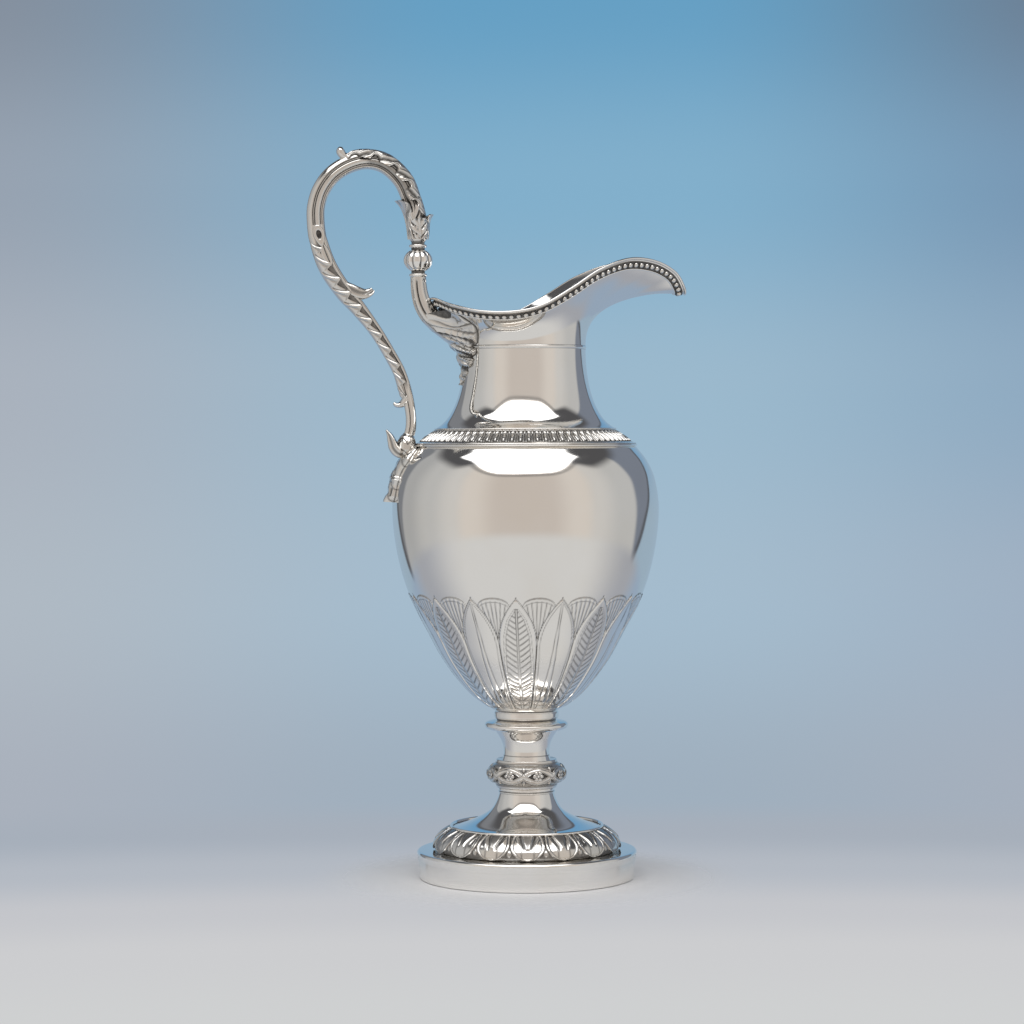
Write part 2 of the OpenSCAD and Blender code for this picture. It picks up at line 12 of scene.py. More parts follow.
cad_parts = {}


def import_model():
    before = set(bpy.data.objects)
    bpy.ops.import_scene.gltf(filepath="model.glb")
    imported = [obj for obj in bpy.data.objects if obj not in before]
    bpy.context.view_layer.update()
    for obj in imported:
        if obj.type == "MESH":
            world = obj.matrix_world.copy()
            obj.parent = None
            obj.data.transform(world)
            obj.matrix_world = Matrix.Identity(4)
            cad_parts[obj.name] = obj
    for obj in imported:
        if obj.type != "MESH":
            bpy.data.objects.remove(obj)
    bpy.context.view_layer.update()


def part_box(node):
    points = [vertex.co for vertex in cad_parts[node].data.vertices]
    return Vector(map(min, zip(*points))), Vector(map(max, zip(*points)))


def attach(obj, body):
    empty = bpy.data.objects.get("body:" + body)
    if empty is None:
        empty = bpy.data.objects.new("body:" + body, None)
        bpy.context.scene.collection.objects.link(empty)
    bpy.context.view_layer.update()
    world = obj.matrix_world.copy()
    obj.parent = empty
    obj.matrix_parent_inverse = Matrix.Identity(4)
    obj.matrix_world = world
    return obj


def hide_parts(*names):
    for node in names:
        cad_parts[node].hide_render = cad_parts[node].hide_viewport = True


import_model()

MM = 0.001
VIEW_TURN = math.radians(9)  # the camera stands this far round from square-on
FRONT = 261.0  # degrees round the axis that face the camera
SHEET = 1.2  # thickness of the sheet metal


# ---------------------------------------------------------------- frame measures

def low(node):
    """Lowest height of a CAD node, in mm."""
    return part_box(node)[0].z / MM


def high(node):
    """Highest height of a CAD node, in mm."""
    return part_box(node)[1].z / MM


def reach(node):
    """Largest radius of a turned CAD node, in mm."""
    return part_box(node)[1].y / MM


def extent(node):
    """Lowest and highest heights and largest radius of a turned CAD node, in mm."""
    return low(node), high(node), reach(node)


# ---------------------------------------------------------------- curves

def smooth(points, steps):
    """A smooth curve through the points, with so many steps between neighbours."""
    p = np.array(points, float)
    p = np.vstack([2 * p[0] - p[1], p, 2 * p[-1] - p[-2]])
    t = np.arange(steps)[:, None] / steps
    out = []
    for a, b, c, d in zip(p, p[1:], p[2:], p[3:]):
        out.append(b + 0.5 * t * ((c - a) + t * ((2 * a - 5 * b + 4 * c - d) + t * (3 * (b - c) + d - a))))
    out.append(p[-2][None])
    return np.vstack(out)


def bezier(a, b, c, d, t):
    return (1 - t) ** 3 * a + 3 * (1 - t) ** 2 * t * b + 3 * (1 - t) * t * t * c + t ** 3 * d


def bezier_line(a, b, c, d, steps):
    t = np.linspace(0, 1, steps + 1)[:, None]
    return bezier(np.array(a, float), np.array(b, float), np.array(c, float), np.array(d, float), t)


def arc_line(centre, radius, start, stop, steps):
    """Points [r, z] on a circle, from angle start to stop in degrees."""
    a = np.radians(np.linspace(start, stop, steps + 1))
    return np.stack([centre[0] + radius * np.cos(a), centre[1] + radius * np.sin(a)], 1)


def even(line, spacing):
    """The same curve with points at even distances, about spacing apart."""
    run = np.concatenate([[0], np.cumsum(np.linalg.norm(np.diff(line, axis=0), axis=1))])
    n = max(2, int(round(run[-1] / spacing)) + 1)
    s = np.linspace(0, run[-1], n)
    return np.stack([np.interp(s, run, line[:, k]) for k in range(line.shape[1])], 1)


def run_share(line):
    """Distance along the curve as a share of its length."""
    run = np.concatenate([[0], np.cumsum(np.linalg.norm(np.diff(line, axis=0), axis=1))])
    return run / run[-1]


def ease(x, lo, hi):
    """0 below lo, 1 above hi, and a smooth step between."""
    t = np.clip((x - lo) / (hi - lo), 0, 1)
    return t * t * (3 - 2 * t)


def groove(distance, width):
    """1 in the middle of a groove and 0 outside it."""
    return np.exp(-(distance / width) ** 2)


def hump(x):
    """A round hump over -1..1."""
    return np.sqrt(np.clip(1 - x * x, 0, 1))


def saw(x, lean):
    """Teeth of one unit: up over the share lean, then back down."""
    f = x - np.floor(x)
    return np.where(f < lean, f / lean, (1 - f) / (1 - lean))


# ---------------------------------------------------------------- meshes

def grid_quads(rows, cols, wrap_rows=False, wrap_cols=False, first=0):
    """Quads over a grid of points, row by row."""
    i = np.arange(rows if wrap_rows else rows - 1)
    j = np.arange(cols if wrap_cols else cols - 1)
    i, j = [k.ravel() for k in np.meshgrid(i, j, indexing="ij")]
    i2, j2 = (i + 1) % rows, (j + 1) % cols
    return first + np.stack([i * cols + j, i * cols + j2, i2 * cols + j2, i2 * cols + j], 1)


def piece(name, parts, material, sharp=40, in_cad=True):
    """One visible piece from (points in mm, quads, darkness) parts. It replaces the CAD node of
    the same name in small letters, and its slot has the name of its material."""
    nodes = [name.lower()] if in_cad else []
    points, quads, dark, first = [], [], [], 0
    for p, q, d in parts:
        p = p.reshape(-1, 3)
        points.append(p)
        quads.append(q + first)
        dark.append(np.broadcast_to(np.asarray(d, float).ravel(), (len(p),)))
        first += len(p)
    points, quads, dark = np.vstack(points), np.vstack(quads), np.concatenate(dark)
    mesh = bpy.data.meshes.new(name)
    mesh.vertices.add(len(points))
    mesh.vertices.foreach_set("co", (points * MM).astype(np.float32).ravel())
    mesh.loops.add(quads.size)
    mesh.loops.foreach_set("vertex_index", quads.astype(np.int32).ravel())
    mesh.polygons.add(len(quads))
    mesh.polygons.foreach_set("loop_start", (np.arange(len(quads)) * 4).astype(np.int32))
    mesh.polygons.foreach_set("use_smooth", np.ones(len(quads), bool))
    mesh.update(calc_edges=True)
    mesh.validate()
    mesh.attributes.new("dark", "FLOAT", "POINT").data.foreach_set("value", dark.astype(np.float32))
    mesh.set_sharp_from_angle(angle=math.radians(sharp))
    mesh.materials.append(material)
    obj = bpy.data.objects.new(name, mesh)
    bpy.context.scene.collection.objects.link(obj)
    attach(obj, "root")
    if nodes:
        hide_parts(*nodes)


def outward(line):
    """Unit normals [r, z] on the right-hand side of a rising outline."""
    t = np.gradient(line, axis=0)
    t /= np.linalg.norm(t, axis=1)[:, None]
    return np.stack([t[:, 1], -t[:, 0]], 1)


def turned(line, lining, turns, relief=None):
    """Turns an outline [r, z] round the axis and joins it to a plain lining, which runs back
    from its end to its start. relief(angle, share, radius, height) gives the ornament's height
    in mm and its darkness."""
    angle = np.arange(turns) * 360 / turns
    lift = np.zeros((len(line), turns))
    dark = np.zeros((len(line) + len(lining), turns))
    if relief:
        lift, shade = relief(angle[None, :], run_share(line)[:, None], line[:, :1], line[:, 1:])
        lift = np.broadcast_to(lift, (len(line), turns))
        dark[:len(line)] = shade
    n = outward(line)
    r = np.vstack([line[:, :1] + n[:, :1] * lift, np.broadcast_to(lining[:, :1], (len(lining), turns))])
    z = np.vstack([line[:, 1:] + n[:, 1:] * lift, np.broadcast_to(lining[:, 1:], (len(lining), turns))])
    a = np.radians(angle)
    points = np.stack([r * np.cos(a), r * np.sin(a), z], 2)
    return points, grid_quads(len(line) + len(lining), turns, True, True), dark


def backing(line, thickness, spacing):
    """The lining of a sheet: its outline moved inwards, run backwards, coarser."""
    back = line - thickness * outward(line)
    back[0, 1], back[-1, 1] = line[0, 1], line[-1, 1]
    return even(back[::-1], spacing)


def bore(radius, line):
    """The lining of a ring: its straight bore, run downwards."""
    return np.array([[radius, line[-1, 1]], [radius, line[0, 1]]])


def soften(line, times):
    """Evens out the bends of a line whose points are close together, and keeps its ends."""
    line = line.copy()
    for _ in range(times):
        line[1:-1] = (line[:-2] + 2 * line[1:-1] + line[2:]) / 4
    return line


# Handle paths lie in the XZ plane. Angle 0 round a path faces the inside of the handle's curve,
# 90 faces -Y, 180 the outside and 270 +Y.

def frames(stations, steps):
    """Centre points, tangents and inner side directions along smooth stations [x, z, thickness ...]."""
    s = smooth(stations, steps)
    t = np.gradient(s[:, :2], axis=0)
    t /= np.linalg.norm(t, axis=1)[:, None]
    return s, t, np.stack([-t[:, 1], t[:, 0]], 1)


def around(s, side, angle, radius, depth):
    """Points at an angle in degrees and a radius round each place on a path."""
    a = np.radians(angle)
    x = s[:, 0, None] + side[:, 0, None] * radius * np.cos(a)
    z = s[:, 1, None] + side[:, 1, None] * radius * np.cos(a)
    y = -radius * depth * np.sin(a)
    return np.stack([x, np.broadcast_to(y, x.shape), z], 2)


def closed_ends(points, dark):
    """Adds a ring at each end drawn in to its middle, so that the tube is shut."""
    first = np.broadcast_to(points[0].mean(0), points[0].shape)
    last = np.broadcast_to(points[-1].mean(0), points[-1].shape)
    dark = np.vstack([dark[:1], dark, dark[-1:]])
    return np.concatenate([first[None], points, last[None]]), dark


def rod(stations, steps, sides, depth=1.0, relief=None):
    """A rod along stations [x, z, half thickness]. relief(share, angle, size) as for turned."""
    s, _, side = frames(stations, steps)
    angle = np.arange(sides) * 360 / sides
    share = run_share(s[:, :2])[:, None]
    lift, dark = relief(share, angle[None, :], s[:, 2:3]) if relief else (0.0, 0.0)
    lift, dark = [np.broadcast_to(k, (len(s), sides)) for k in (lift, dark)]
    points = around(s, side, angle[None, :], s[:, 2:3] + lift, depth)
    points, dark = closed_ends(points, dark)
    return points, grid_quads(len(points), sides, False, True), dark


def button(front, depth, dark, flip):
    """Shuts a relief made of rings round its middle, with its last ring moved back by depth."""
    rings, n = front.shape[:2]
    back = front[-1:] - depth
    shut = np.broadcast_to(back.mean(1, keepdims=True), back.shape)
    quads = grid_quads(rings + 2, n, False, True)
    shade = np.vstack([np.broadcast_to(dark, (rings, n)), np.ones((2, n))])
    return np.concatenate([front, back, shut]), quads[:, ::-1] if flip else quads, shade


def leaf(stations, steps, facing, half, shape, depth=1.0, across=28, back=0.25):
    """A leaf wrapped on a rod along stations [x, z, rod half thickness]. half(share) is the half
    angle that it spans, and shape(share, v) its height and darkness, with v from -1 to 1."""
    s, _, side = frames(stations, steps)
    share = run_share(s[:, :2])[:, None]
    v = np.linspace(-1, 1, across + 1)[None, :]
    span = np.broadcast_to(half(share), share.shape)
    lift, dark = shape(share, v)
    lift = np.broadcast_to(lift, (len(s), across + 1))
    dark = np.broadcast_to(dark, (len(s), across + 1))
    outer = around(s, side, facing + span * v, s[:, 2:3] + lift, depth)
    inner = around(s, side, facing + span * v[:, ::-1], np.maximum(s[:, 2:3] - back, 0.1), depth)
    points = np.concatenate([outer, inner], 1)
    dark = np.concatenate([dark, np.ones_like(dark)], 1)
    points, dark = closed_ends(points, dark)
    return points, grid_quads(len(points), points.shape[1], False, True), dark


# ---------------------------------------------------------------- materials

def silver(name, colour, roughness, tarnish, planish, scratch):
    """Polished silver. The darkness on the mesh turns to near-black, partly oxide in the hollows and partly
    painted shade, tarnish is how much of a warm film lies on it, planish the height of the hammered waviness,
    scratch that of fine wear."""
    mat = bpy.data.materials.new(name)
    mat.use_nodes = True
    nodes, links = mat.node_tree.nodes, mat.node_tree.links
    shader = nodes["Principled BSDF"]
    shader.inputs["Metallic"].default_value = 1.0

    def add(kind, **settings):
        node = nodes.new(kind)
        for key, value in settings.items():
            if key in node.inputs:
                node.inputs[key].default_value = value
            else:
                setattr(node, key, value)
        return node

    place = add("ShaderNodeTexCoord")

    def noise(scale, detail, stretch=(1, 1, 1)):
        mapping = add("ShaderNodeMapping")
        mapping.inputs["Scale"].default_value = stretch
        links.new(place.outputs["Object"], mapping.inputs["Vector"])
        node = add("ShaderNodeTexNoise", Scale=scale, Detail=detail)
        links.new(mapping.outputs["Vector"], node.inputs["Vector"])
        return node.outputs["Fac"]

    def spread(value, lo, hi, to_lo, to_hi):
        node = add("ShaderNodeMapRange")
        node.clamp = True
        for key, number in zip(("From Min", "From Max", "To Min", "To Max"), (lo, hi, to_lo, to_hi)):
            node.inputs[key].default_value = number
        links.new(value, node.inputs["Value"])
        return node.outputs["Result"]

    def math_node(kind, a, b):
        node = add("ShaderNodeMath", operation=kind)
        for socket, value in zip(node.inputs, (a, b)):
            if isinstance(value, (int, float)):
                socket.default_value = value
            else:
                links.new(value, socket)
        return node.outputs["Value"]

    def mix(fac, a, b):
        node = add("ShaderNodeMix", data_type="RGBA")
        links.new(fac, node.inputs["Factor"])
        for key, value in ((6, a), (7, b)):
            if isinstance(value, tuple):
                node.inputs[key].default_value = (*value, 1)
            else:
                links.new(value, node.inputs[key])
        return node.outputs[2]

    dark = add("ShaderNodeAttribute", attribute_name="dark").outputs["Fac"]
    cloud = noise(28, 4)
    grain = noise(420, 3)
    warm = tuple(c * k for c, k in zip(colour, (0.90, 0.86, 0.79)))
    film = spread(cloud, 0.42, 0.72, 0, tarnish)
    base = mix(film, colour, warm)
    # oxide in the hollows and painted shade and shadow: the darkness mixes the colour towards near-black
    oxide_and_painted_shade = math_node("MULTIPLY", dark, spread(grain, 0.3, 0.7, 0.82, 1.0))
    links.new(mix(oxide_and_painted_shade, base, (0.030, 0.026, 0.024)), shader.inputs["Base Color"])

    rub = math_node("MULTIPLY", spread(noise(60, 5), 0.35, 0.7, -0.3, 0.7), roughness)
    rough = math_node("ADD", math_node("ADD", rub, roughness), math_node("MULTIPLY", dark, 0.32))
    links.new(rough, shader.inputs["Roughness"])

    wave = add("ShaderNodeBump", Strength=1.0, Distance=planish * MM)
    links.new(noise(34, 1), wave.inputs["Height"])
    wear = add("ShaderNodeBump", Strength=1.0, Distance=scratch * MM)
    fine = math_node("ADD", noise(260, 6, (1, 1, 5)), noise(300, 6, (4, 4, 0.6)))
    links.new(fine, wear.inputs["Height"])
    links.new(wave.outputs["Normal"], wear.inputs["Normal"])
    links.new(wear.outputs["Normal"], shader.inputs["Normal"])
    return mat


polished = silver("polished_silver", (0.93, 0.915, 0.89), 0.055, 0.25, 0.05, 0.0022)
cast = silver("cast_silver", (0.80, 0.785, 0.76), 0.12, 0.5, 0.05, 0.012)
rolled = silver("rolled_silver", (0.80, 0.785, 0.76), 0.12, 0.45, 0.02, 0.008)


# ---------------------------------------------------------------- foot

def plinth():
    top, r = high("plinth"), reach("plinth")
    line = np.vstack([
        [[r - 4.9, 0], [r - 1.9, 0]], arc_line((r - 1.9, 0.5), 0.5, -90, 0, 4)[1:],
        [[r - 1.1, 5], [r - 0.7, 10], [r - 0.45, 12.6]],
        arc_line((r - 1.4, top - 1.4), 1.4, -10, 90, 10), [[r - 8, top], [r - 14.6, top]],
    ])
    lining = np.array([[r - 14.6, top - SHEET], [r - 3, top - SHEET], [r - 3.3, 2], [r - 4.9, 2]])
    piece("Plinth", [turned(line, lining, 288)], polished)


def foot_border():
    r, z, top = reach("plinth") - 8.6, low("foot_border"), high("foot_border")
    h = top - z
    line = even(bezier_line((r - 2.4, z), (r + 1.4, z + 1.5), (r - 0.4, z + 0.66 * h),
                            (r - 10.2, top), 200), 0.28)
    leaves = 16

    def relief(angle, t, radius, height):
        x = (angle - FRONT - 0.5) * leaves / 360
        x = x - np.round(x)
        below = np.clip((0.58 - t) / 0.49, 0, 1)
        half = np.where(t < 0.58, 0.5 * np.sqrt(1 - below ** 2.3), 0.5 - 0.05 * ((t - 0.58) / 0.42) ** 2)
        mm = radius * 2 * math.pi / leaves
        edge = (half - abs(x)) * mm
        inside = ease(edge, 0, 0.45)
        rim = hump((edge - 0.95) / 0.95)
        field = ease(edge, 1.9, 2.5)
        wedge_half = 0.07 + 0.13 * ease(t, 0.42, 1.0)
        wedge = ease(t, 0.36, 0.46) * ease(wedge_half * mm - abs(x) * mm, -0.1, 0.5)
        cut_at = wedge_half * mm + 0.75
        cut = groove(abs(x) * mm - cut_at, 0.5 + 0.5 * ease(t, 0.4, 1)) * ease(t, 0.34, 0.5) * field
        rib = 0.35 * groove(abs(x) * mm - cut_at - 2.1, 0.6) * field * ease(t, 0.4, 0.6)
        dart_x = 0.5 - abs(x)
        dart = hump(np.hypot(dart_x * mm / 1.5, (t - 0.3) * h * 1.4 / 1.9))
        foot = ease(t, 0, 0.06)
        lift = inside * (0.40 + 0.42 * rim) + field * 0.12 + 0.35 * wedge * field - 0.45 * cut + 0.6 * rib
        lift = np.where(inside > 0.02, lift, 0.55 * dart) * foot * ease(1 - t, 0, 0.05)
        dark = np.maximum((1 - inside) * (1 - 0.75 * dart) * 0.8, 0.95 * cut)
        dark = np.maximum(dark, 0.95 * groove(edge - 0.05, 0.34))
        dark = np.maximum(dark, 0.9 * groove(edge - 2.0, 0.28) * inside)
        dark = np.maximum(dark, 0.6 * groove(abs(x) * mm - cut_at - 1.2, 0.5) * field)
        dark = np.maximum(dark, 0.55 * wedge * field * ease(wedge_half * mm - abs(x) * mm, 0.5, 1.2))
        return lift, dark * ease(t, 0.0, 0.1)

    piece("Foot_border", [turned(line, backing(line, SHEET, 1.6), 1152, relief)], rolled)


def foot_wire():
    z0, z1 = low("foot_fillet_wire"), high("foot_fillet_wire")
    r = (z1 - z0) / 2
    line = arc_line((reach("foot_fillet_wire") - r, z0 + r), r, -150, 150, 14)
    piece("Foot_fillet_wire", [turned(line, line[[-1, 0]] - [0.15, 0], 288)], polished)


def foot_dome():
    r0, z, top = reach("foot_dome"), low("foot_dome"), high("foot_dome")
    r1, h = reach("stem_collar") - 0.5, top - z
    line = soften(even(smooth([(r0, z), (r0 - 8.7, z + 0.14 * h), (r1 + 5.7, z + 0.45 * h),
                               (r1 + 1.7, z + 0.74 * h), (r1, top)], 30), 0.35), 40)
    piece("Foot_dome", [turned(line, backing(line, SHEET, 2.5), 256)], polished)


# ---------------------------------------------------------------- stem

def stem_collar():
    z, top, r = extent("stem_collar")
    line = even(np.array([[r - 0.6, z], [r - 0.1, z + 0.15], [r, z + 0.5], [r - 0.1, z + 0.85],
                          [r - 0.6, z + 1.05],
                          [r - 0.6, z + 1.25], [r - 0.15, z + 1.45], [r, z + 2], [r - 0.05, z + 2.8],
                          [r - 0.4, top - 0.25], [r - 0.5, top]]), 0.14)

    def relief(angle, t, radius, height):
        return 0, 0.8 * groove(height - z - 1.15, 0.18)

    piece("Stem_collar", [turned(soften(line, 2), bore(12, line), 192, relief)], polished)


ROSETTES = 8
FIRST_ROSETTE = 9  # degrees round from the spout


def knop():
    z, top, r = extent("knop")
    mid, h = (z + top) / 2, top - z
    a = np.radians(np.linspace(-68, 68, 200))
    line = np.stack([r - 9 + 9 * np.cos(a), mid + h / 2 * np.sin(a) / math.sin(math.radians(68))], 1)
    line = even(line, 0.2)
    swing, ribbon = 3.7, 1.75  # how far the ribbons swing from the middle, and their half width

    def relief(angle, t, radius, height):
        pitch = 2 * math.pi * r / ROSETTES
        x = (angle - FIRST_ROSETTE) * pitch * ROSETTES / 360
        run = (t - 0.5) * 19.0
        rise = swing * np.cos(math.pi * x / pitch)
        slope = np.sqrt(1 + (swing * math.pi / pitch * np.sin(math.pi * x / pitch)) ** 2)
        d1, d2 = abs(run - rise) / slope, abs(run + rise) / slope
        phase = np.sin(2 * math.pi * x / pitch)
        over1 = np.where(phase > 0, 0.45, 0) * ease(2.6 - abs(rise), 0, 1.6)
        over2 = np.where(phase < 0, 0.45, 0) * ease(2.6 - abs(rise), 0, 1.6)

        def band(d, over):
            flat = ease(ribbon - d, 0, 0.35)
            return flat * (1.15 + over - 0.3 * groove(d - 0.95, 0.28)), flat

        h1, f1 = band(d1, over1)
        h2, f2 = band(d2, over2)
        lift = np.maximum(h1, h2)
        cover = np.maximum(f1, f2)
        on1 = h1 >= h2
        line_dark = np.where(on1, groove(d1 - 0.95, 0.2) * f1, groove(d2 - 0.95, 0.2) * f2) * 0.6
        edge_dark = np.where(on1, groove(d1 - 1.85, 0.3), groove(d2 - 1.85, 0.3))
        xr = x - pitch * np.round(x / pitch)
        dart = hump(np.hypot(abs(xr) - pitch / 2, (abs(run) - 4.3) / 1.9))
        outer = ease(abs(run), 3.6, 5.6)
        rim = ease(abs(run), 7.9, 8.3)
        lift = np.where(cover > 0.02, lift, 0.6 * dart + 0.35 * outer) * (1 - rim)
        lift = lift + 0.9 * rim * hump((abs(run) - 9) / 1.2)
        dark = (1 - cover) * (0.95 - 0.7 * dart - 0.62 * outer)
        dark = np.maximum(dark, np.maximum(line_dark, 0.85 * edge_dark))
        dark = dark * (1 - rim) + rim * 0.8 * groove(abs(run) - 8.2, 0.3)
        return lift - 1.15 * ease(9.5 - abs(run), 0, 1.2), np.clip(dark, 0, 1)

    piece("Knop", [turned(line, bore(12, line), 960, relief)], rolled)


def knop_rosettes():
    z = (low("knop") + high("knop")) / 2
    r = reach("knop") - 1.0
    parts = []
    n, rings = 48, 16
    for k in range(ROSETTES):
        turn = math.radians(FIRST_ROSETTE + 360 / ROSETTES * k)
        a = np.arange(n) * 2 * math.pi / n
        away = np.linspace(0, 1, rings)[:, None]
        six = abs(np.cos(3 * a))[None, :]
        petal = 0.80 + 0.20 * six
        size = 3.1 * away * (1 + (petal - 1) * away ** 2)
        lift = 0.75 * hump((away - 0.62) / 0.42) * (0.45 + 0.55 * six ** 0.7)
        lift = lift + 0.8 * hump(away / 0.27)
        dark = 0.95 * groove(away - 0.30, 0.07) + 0.8 * (1 - six) ** 2 * ease(away, 0.3, 0.45)
        dark = dark + 0.8 * ease(away, 0.93, 1)
        x, y = size * np.cos(a), size * np.sin(a)
        out = r + lift - (x * x + y * y) / 2 / 13 + 0.15
        front = np.stack([out * math.cos(turn) - x * math.sin(turn),
                          out * math.sin(turn) + x * math.cos(turn),
                          z + y + 0 * x], 2)
        parts.append(button(front, 0.9 * np.array([math.cos(turn), math.sin(turn), 0]), dark, True))
    piece("Knop_rosettes", parts, rolled)


def stem_spool():
    z, top, r1 = extent("stem_spool")
    r, h = r1 - 4.6, top - z
    line = smooth([(r + 1.1, z), (r, z + 0.24 * h), (r + 1.1, z + 0.63 * h), (r + 4.6, top)], 30)
    line = soften(even(line, 0.25), 20)

    def relief(angle, t, radius, height):
        mark = groove(height - z - 3.0, 0.22)
        return -0.12 * mark, 0.85 * mark

    piece("Stem_spool", [turned(line, backing(line, SHEET, 2), 192, relief)], polished)


def stem_flange():
    z, top, r = extent("stem_flange")
    line = soften(even(np.array([[r - 5.4, z], [r - 2.6, z + 0.5], [r - 0.8, z + 1.3], [r, z + 2.4],
                                 [r, z + 3.5],
                                 [r - 0.8, z + 4.5], [r - 2.4, z + 5.1], [r - 4.4, z + 5.5],
                                 [r - 5.6, top]]), 0.16), 3)
    piece("Stem_flange", [turned(line, bore(14, line), 192)], polished)


def body_collar():
    z, top, r = extent("body_collar")
    h = top - z
    line = soften(even(np.array([[r - 1.5, z], [r - 1.5, z + 0.6], [r - 0.5, z + 0.9], [r, z + 1.8],
                                 [r, z + h / 2],
                                 [r, top - 1.8], [r - 0.5, top - 0.9], [r - 1.5, top - 0.6],
                                 [r - 1.5, top]]), 0.14), 5)

    def relief(angle, t, radius, height):
        return 0, 0.9 * ease(abs(height - z - h / 2), h / 2 - 0.75, h / 2 - 0.4)

    piece("Body_collar", [turned(line, bore(14, line), 192, relief)], polished)


# ---------------------------------------------------------------- body

BODY_FORM = [(0.252, 0), (0.428, 0.069), (0.606, 0.183), (0.731, 0.297), (0.883, 0.449),
             (0.967, 0.601), (1, 0.753), (0.974, 0.868), (0.912, 0.944), (0.826, 1)]


def body_leaves(angle, t, radius, height):
    """The chased leaves: sixteen in a ring, plain and fern by turns, with fans between the tips."""
    z = height
    leaves, faced, leaf_top = 16, 256.2, 156  # how many, where one leaf's middle is, and their top
    span = 360 / leaves
    x = (angle - faced) * leaves / 360
    number = np.round(x)
    x = (x - number) * span
    fern = np.mod(number, 2) == 0
    mm = np.radians(1) * radius
    half = np.where(z > 130, span / 2 * (1 - np.clip((z - 130) / 26, 0, 1) ** 1.9), span / 2)
    edge = (half - abs(x)) * mm
    inside = (z < leaf_top) & (edge > 0)
    xm = abs(x) * mm
    lift = np.where(inside, 0.55 * ease(edge, 0.0, 0.8), 0.0)
    dark = 0.95 * groove(edge, 0.26) * (z < leaf_top + 1)
    lift = lift - 0.28 * groove(edge, 0.3) * (z < leaf_top + 1)

    # the fern's dotted inner outline, its barbs and its midrib
    inner = np.interp(z, [92, 95, 108, 119.5, 128, 136.3, 145, 150, 152],
                      [10.2, 10, 9.6, 8.9, 8, 7, 4.3, 0.9, 0])
    step = (inner - abs(x)) * mm
    field = ease(step, 0, 0.4) * (z < 151.5)
    dots = hump(np.mod(z / 2.3 + 0 * x, 1) * 2 - 1) * groove(step, 0.5) * (z < 150)
    barb = np.mod((z - 0.55 * xm - 0.03 * xm ** 2) / 3.1, 1)
    blade = (0.15 + 0.5 * hump(barb * 2 - 1)) * ease(xm, 0.5, 1.2)
    barb_cut = groove(np.minimum(barb, 1 - barb) * 3.1, 0.42) * ease(xm, 0.6, 1.1) * field
    rib = groove(abs(xm - 0.55), 0.22)
    fern_lift = field * (0.22 * blade - 0.1) + 0.16 * dots - 0.12 * groove(step - 0.2, 0.3)
    fern_dark = np.maximum(0.8 * barb_cut, 0.8 * rib * (z < 151))
    fern_dark = np.maximum(fern_dark, 0.7 * groove(step - 0.55, 0.24) * (z < 151))
    fern_dark = np.maximum(fern_dark, 0.6 * groove(step + 0.62, 0.18) * (z < 151))
    fern_dark = fern_dark * (1 - 0.8 * dots)

    # the plain leaf's second outline and its tapering midrib
    second = groove(edge - 1.5, 0.2)
    mid = groove(xm - 0.25 - 0.03 * np.clip(154 - z, 0, 60), 0.24) * (z < 153)
    plain_lift = -0.14 * second - 0.18 * mid + 0.12 * groove(xm, 0.9)
    plain_dark = 0.75 * np.maximum(second, mid)
    lift = lift + np.where(inside, np.where(fern, fern_lift, plain_lift), 0)
    dark = np.where(inside & (edge > 0.3), np.where(fern, fern_dark, plain_dark), dark)

    # fans between the tips, each centred on the line between two leaves
    fan_z, flute_turn = 126.5, 0.098  # the height that the flutes spread from, and radians between them
    xf = (span / 2 - abs(x)) * mm
    top = 152.2 + 4.2 * np.sqrt(np.clip(1 - (xf / 8.5) ** 2, 0, 1))
    fan = (~inside) & (z > 128) & (z < top) & (xf < 8.6)
    flute = np.mod(np.arctan2(xf, z - fan_z) / flute_turn + 0.5, 1)
    flute_cut = groove(np.minimum(flute, 1 - flute) * flute_turn * (z - fan_z), 0.3)
    cap = groove(z - top, 0.35) * (xf < 8.6) * (~inside)
    beads = hump(np.mod(xf / 1.7, 1) * 2 - 1) * groove(z - top + 1.1, 0.6) * fan
    lift = lift + np.where(fan, 0.10 + 0.25 * hump(flute * 2 - 1) - 0.15 * flute_cut + 0.12 * beads, 0)
    dark = np.maximum(dark, np.where(fan, 0.7 * flute_cut * ease(top - z, 1.2, 2.0), 0))
    dark = np.maximum(dark, 0.75 * cap)
    dark = np.maximum(dark, 0.6 * groove(z - top + 2.0, 0.25) * fan)
    keep = ease(z, 93, 95)
    return lift * keep, np.clip(dark, 0, 1) * keep


def body():
    z, top, r = extent("body")
    form = smooth([(s * r, z + q * (top - z)) for s, q in BODY_FORM], 40)
    low_part = even(form[form[:, 1] < 159], 0.5)
    high_part = soften(even(form[form[:, 1] > 159], 2.0), 1)
    line = np.vstack([[[0.02, z], [9, z]], low_part, high_part])
    wall = backing(np.vstack([low_part, high_part]), SHEET, 5)
    inside = wall[wall[:, 0] > 14]
    inside[0] = [high_part[-1, 0] - 1.6, top]
    lining = np.vstack([inside, [[9, z + 1.25], [0.02, z + SHEET]]])

    def relief(angle, t, radius, height):
        lift, dark = body_leaves(angle, t, radius, height)
        on = (height > z + 0.5) & (height < 160)
        return np.where(on, lift, 0), np.where(on, dark, 0)

    piece("Body", [turned(line, lining, 704, relief)], polished, sharp=60)


# ---------------------------------------------------------------- shoulder and neck

def shoulder_wire():
    z, top, r = extent("shoulder_wire")
    line = soften(even(np.array([[r - 1, z], [r - 0.2, z + 0.1], [r, z + 0.55], [r - 0.15, z + 0.95],
                                 [r - 0.7, z + 1.1],
                                 [r - 0.6, z + 1.25], [r - 0.45, z + 1.5], [r - 0.7, z + 1.85],
                                 [r - 2, top]]), 0.1), 2)

    def relief(angle, t, radius, height):
        return 0, 0.85 * groove(height - z - 1.12, 0.14)

    piece("Shoulder_wire", [turned(line, bore(r - 4.4, line), 256, relief)], polished)


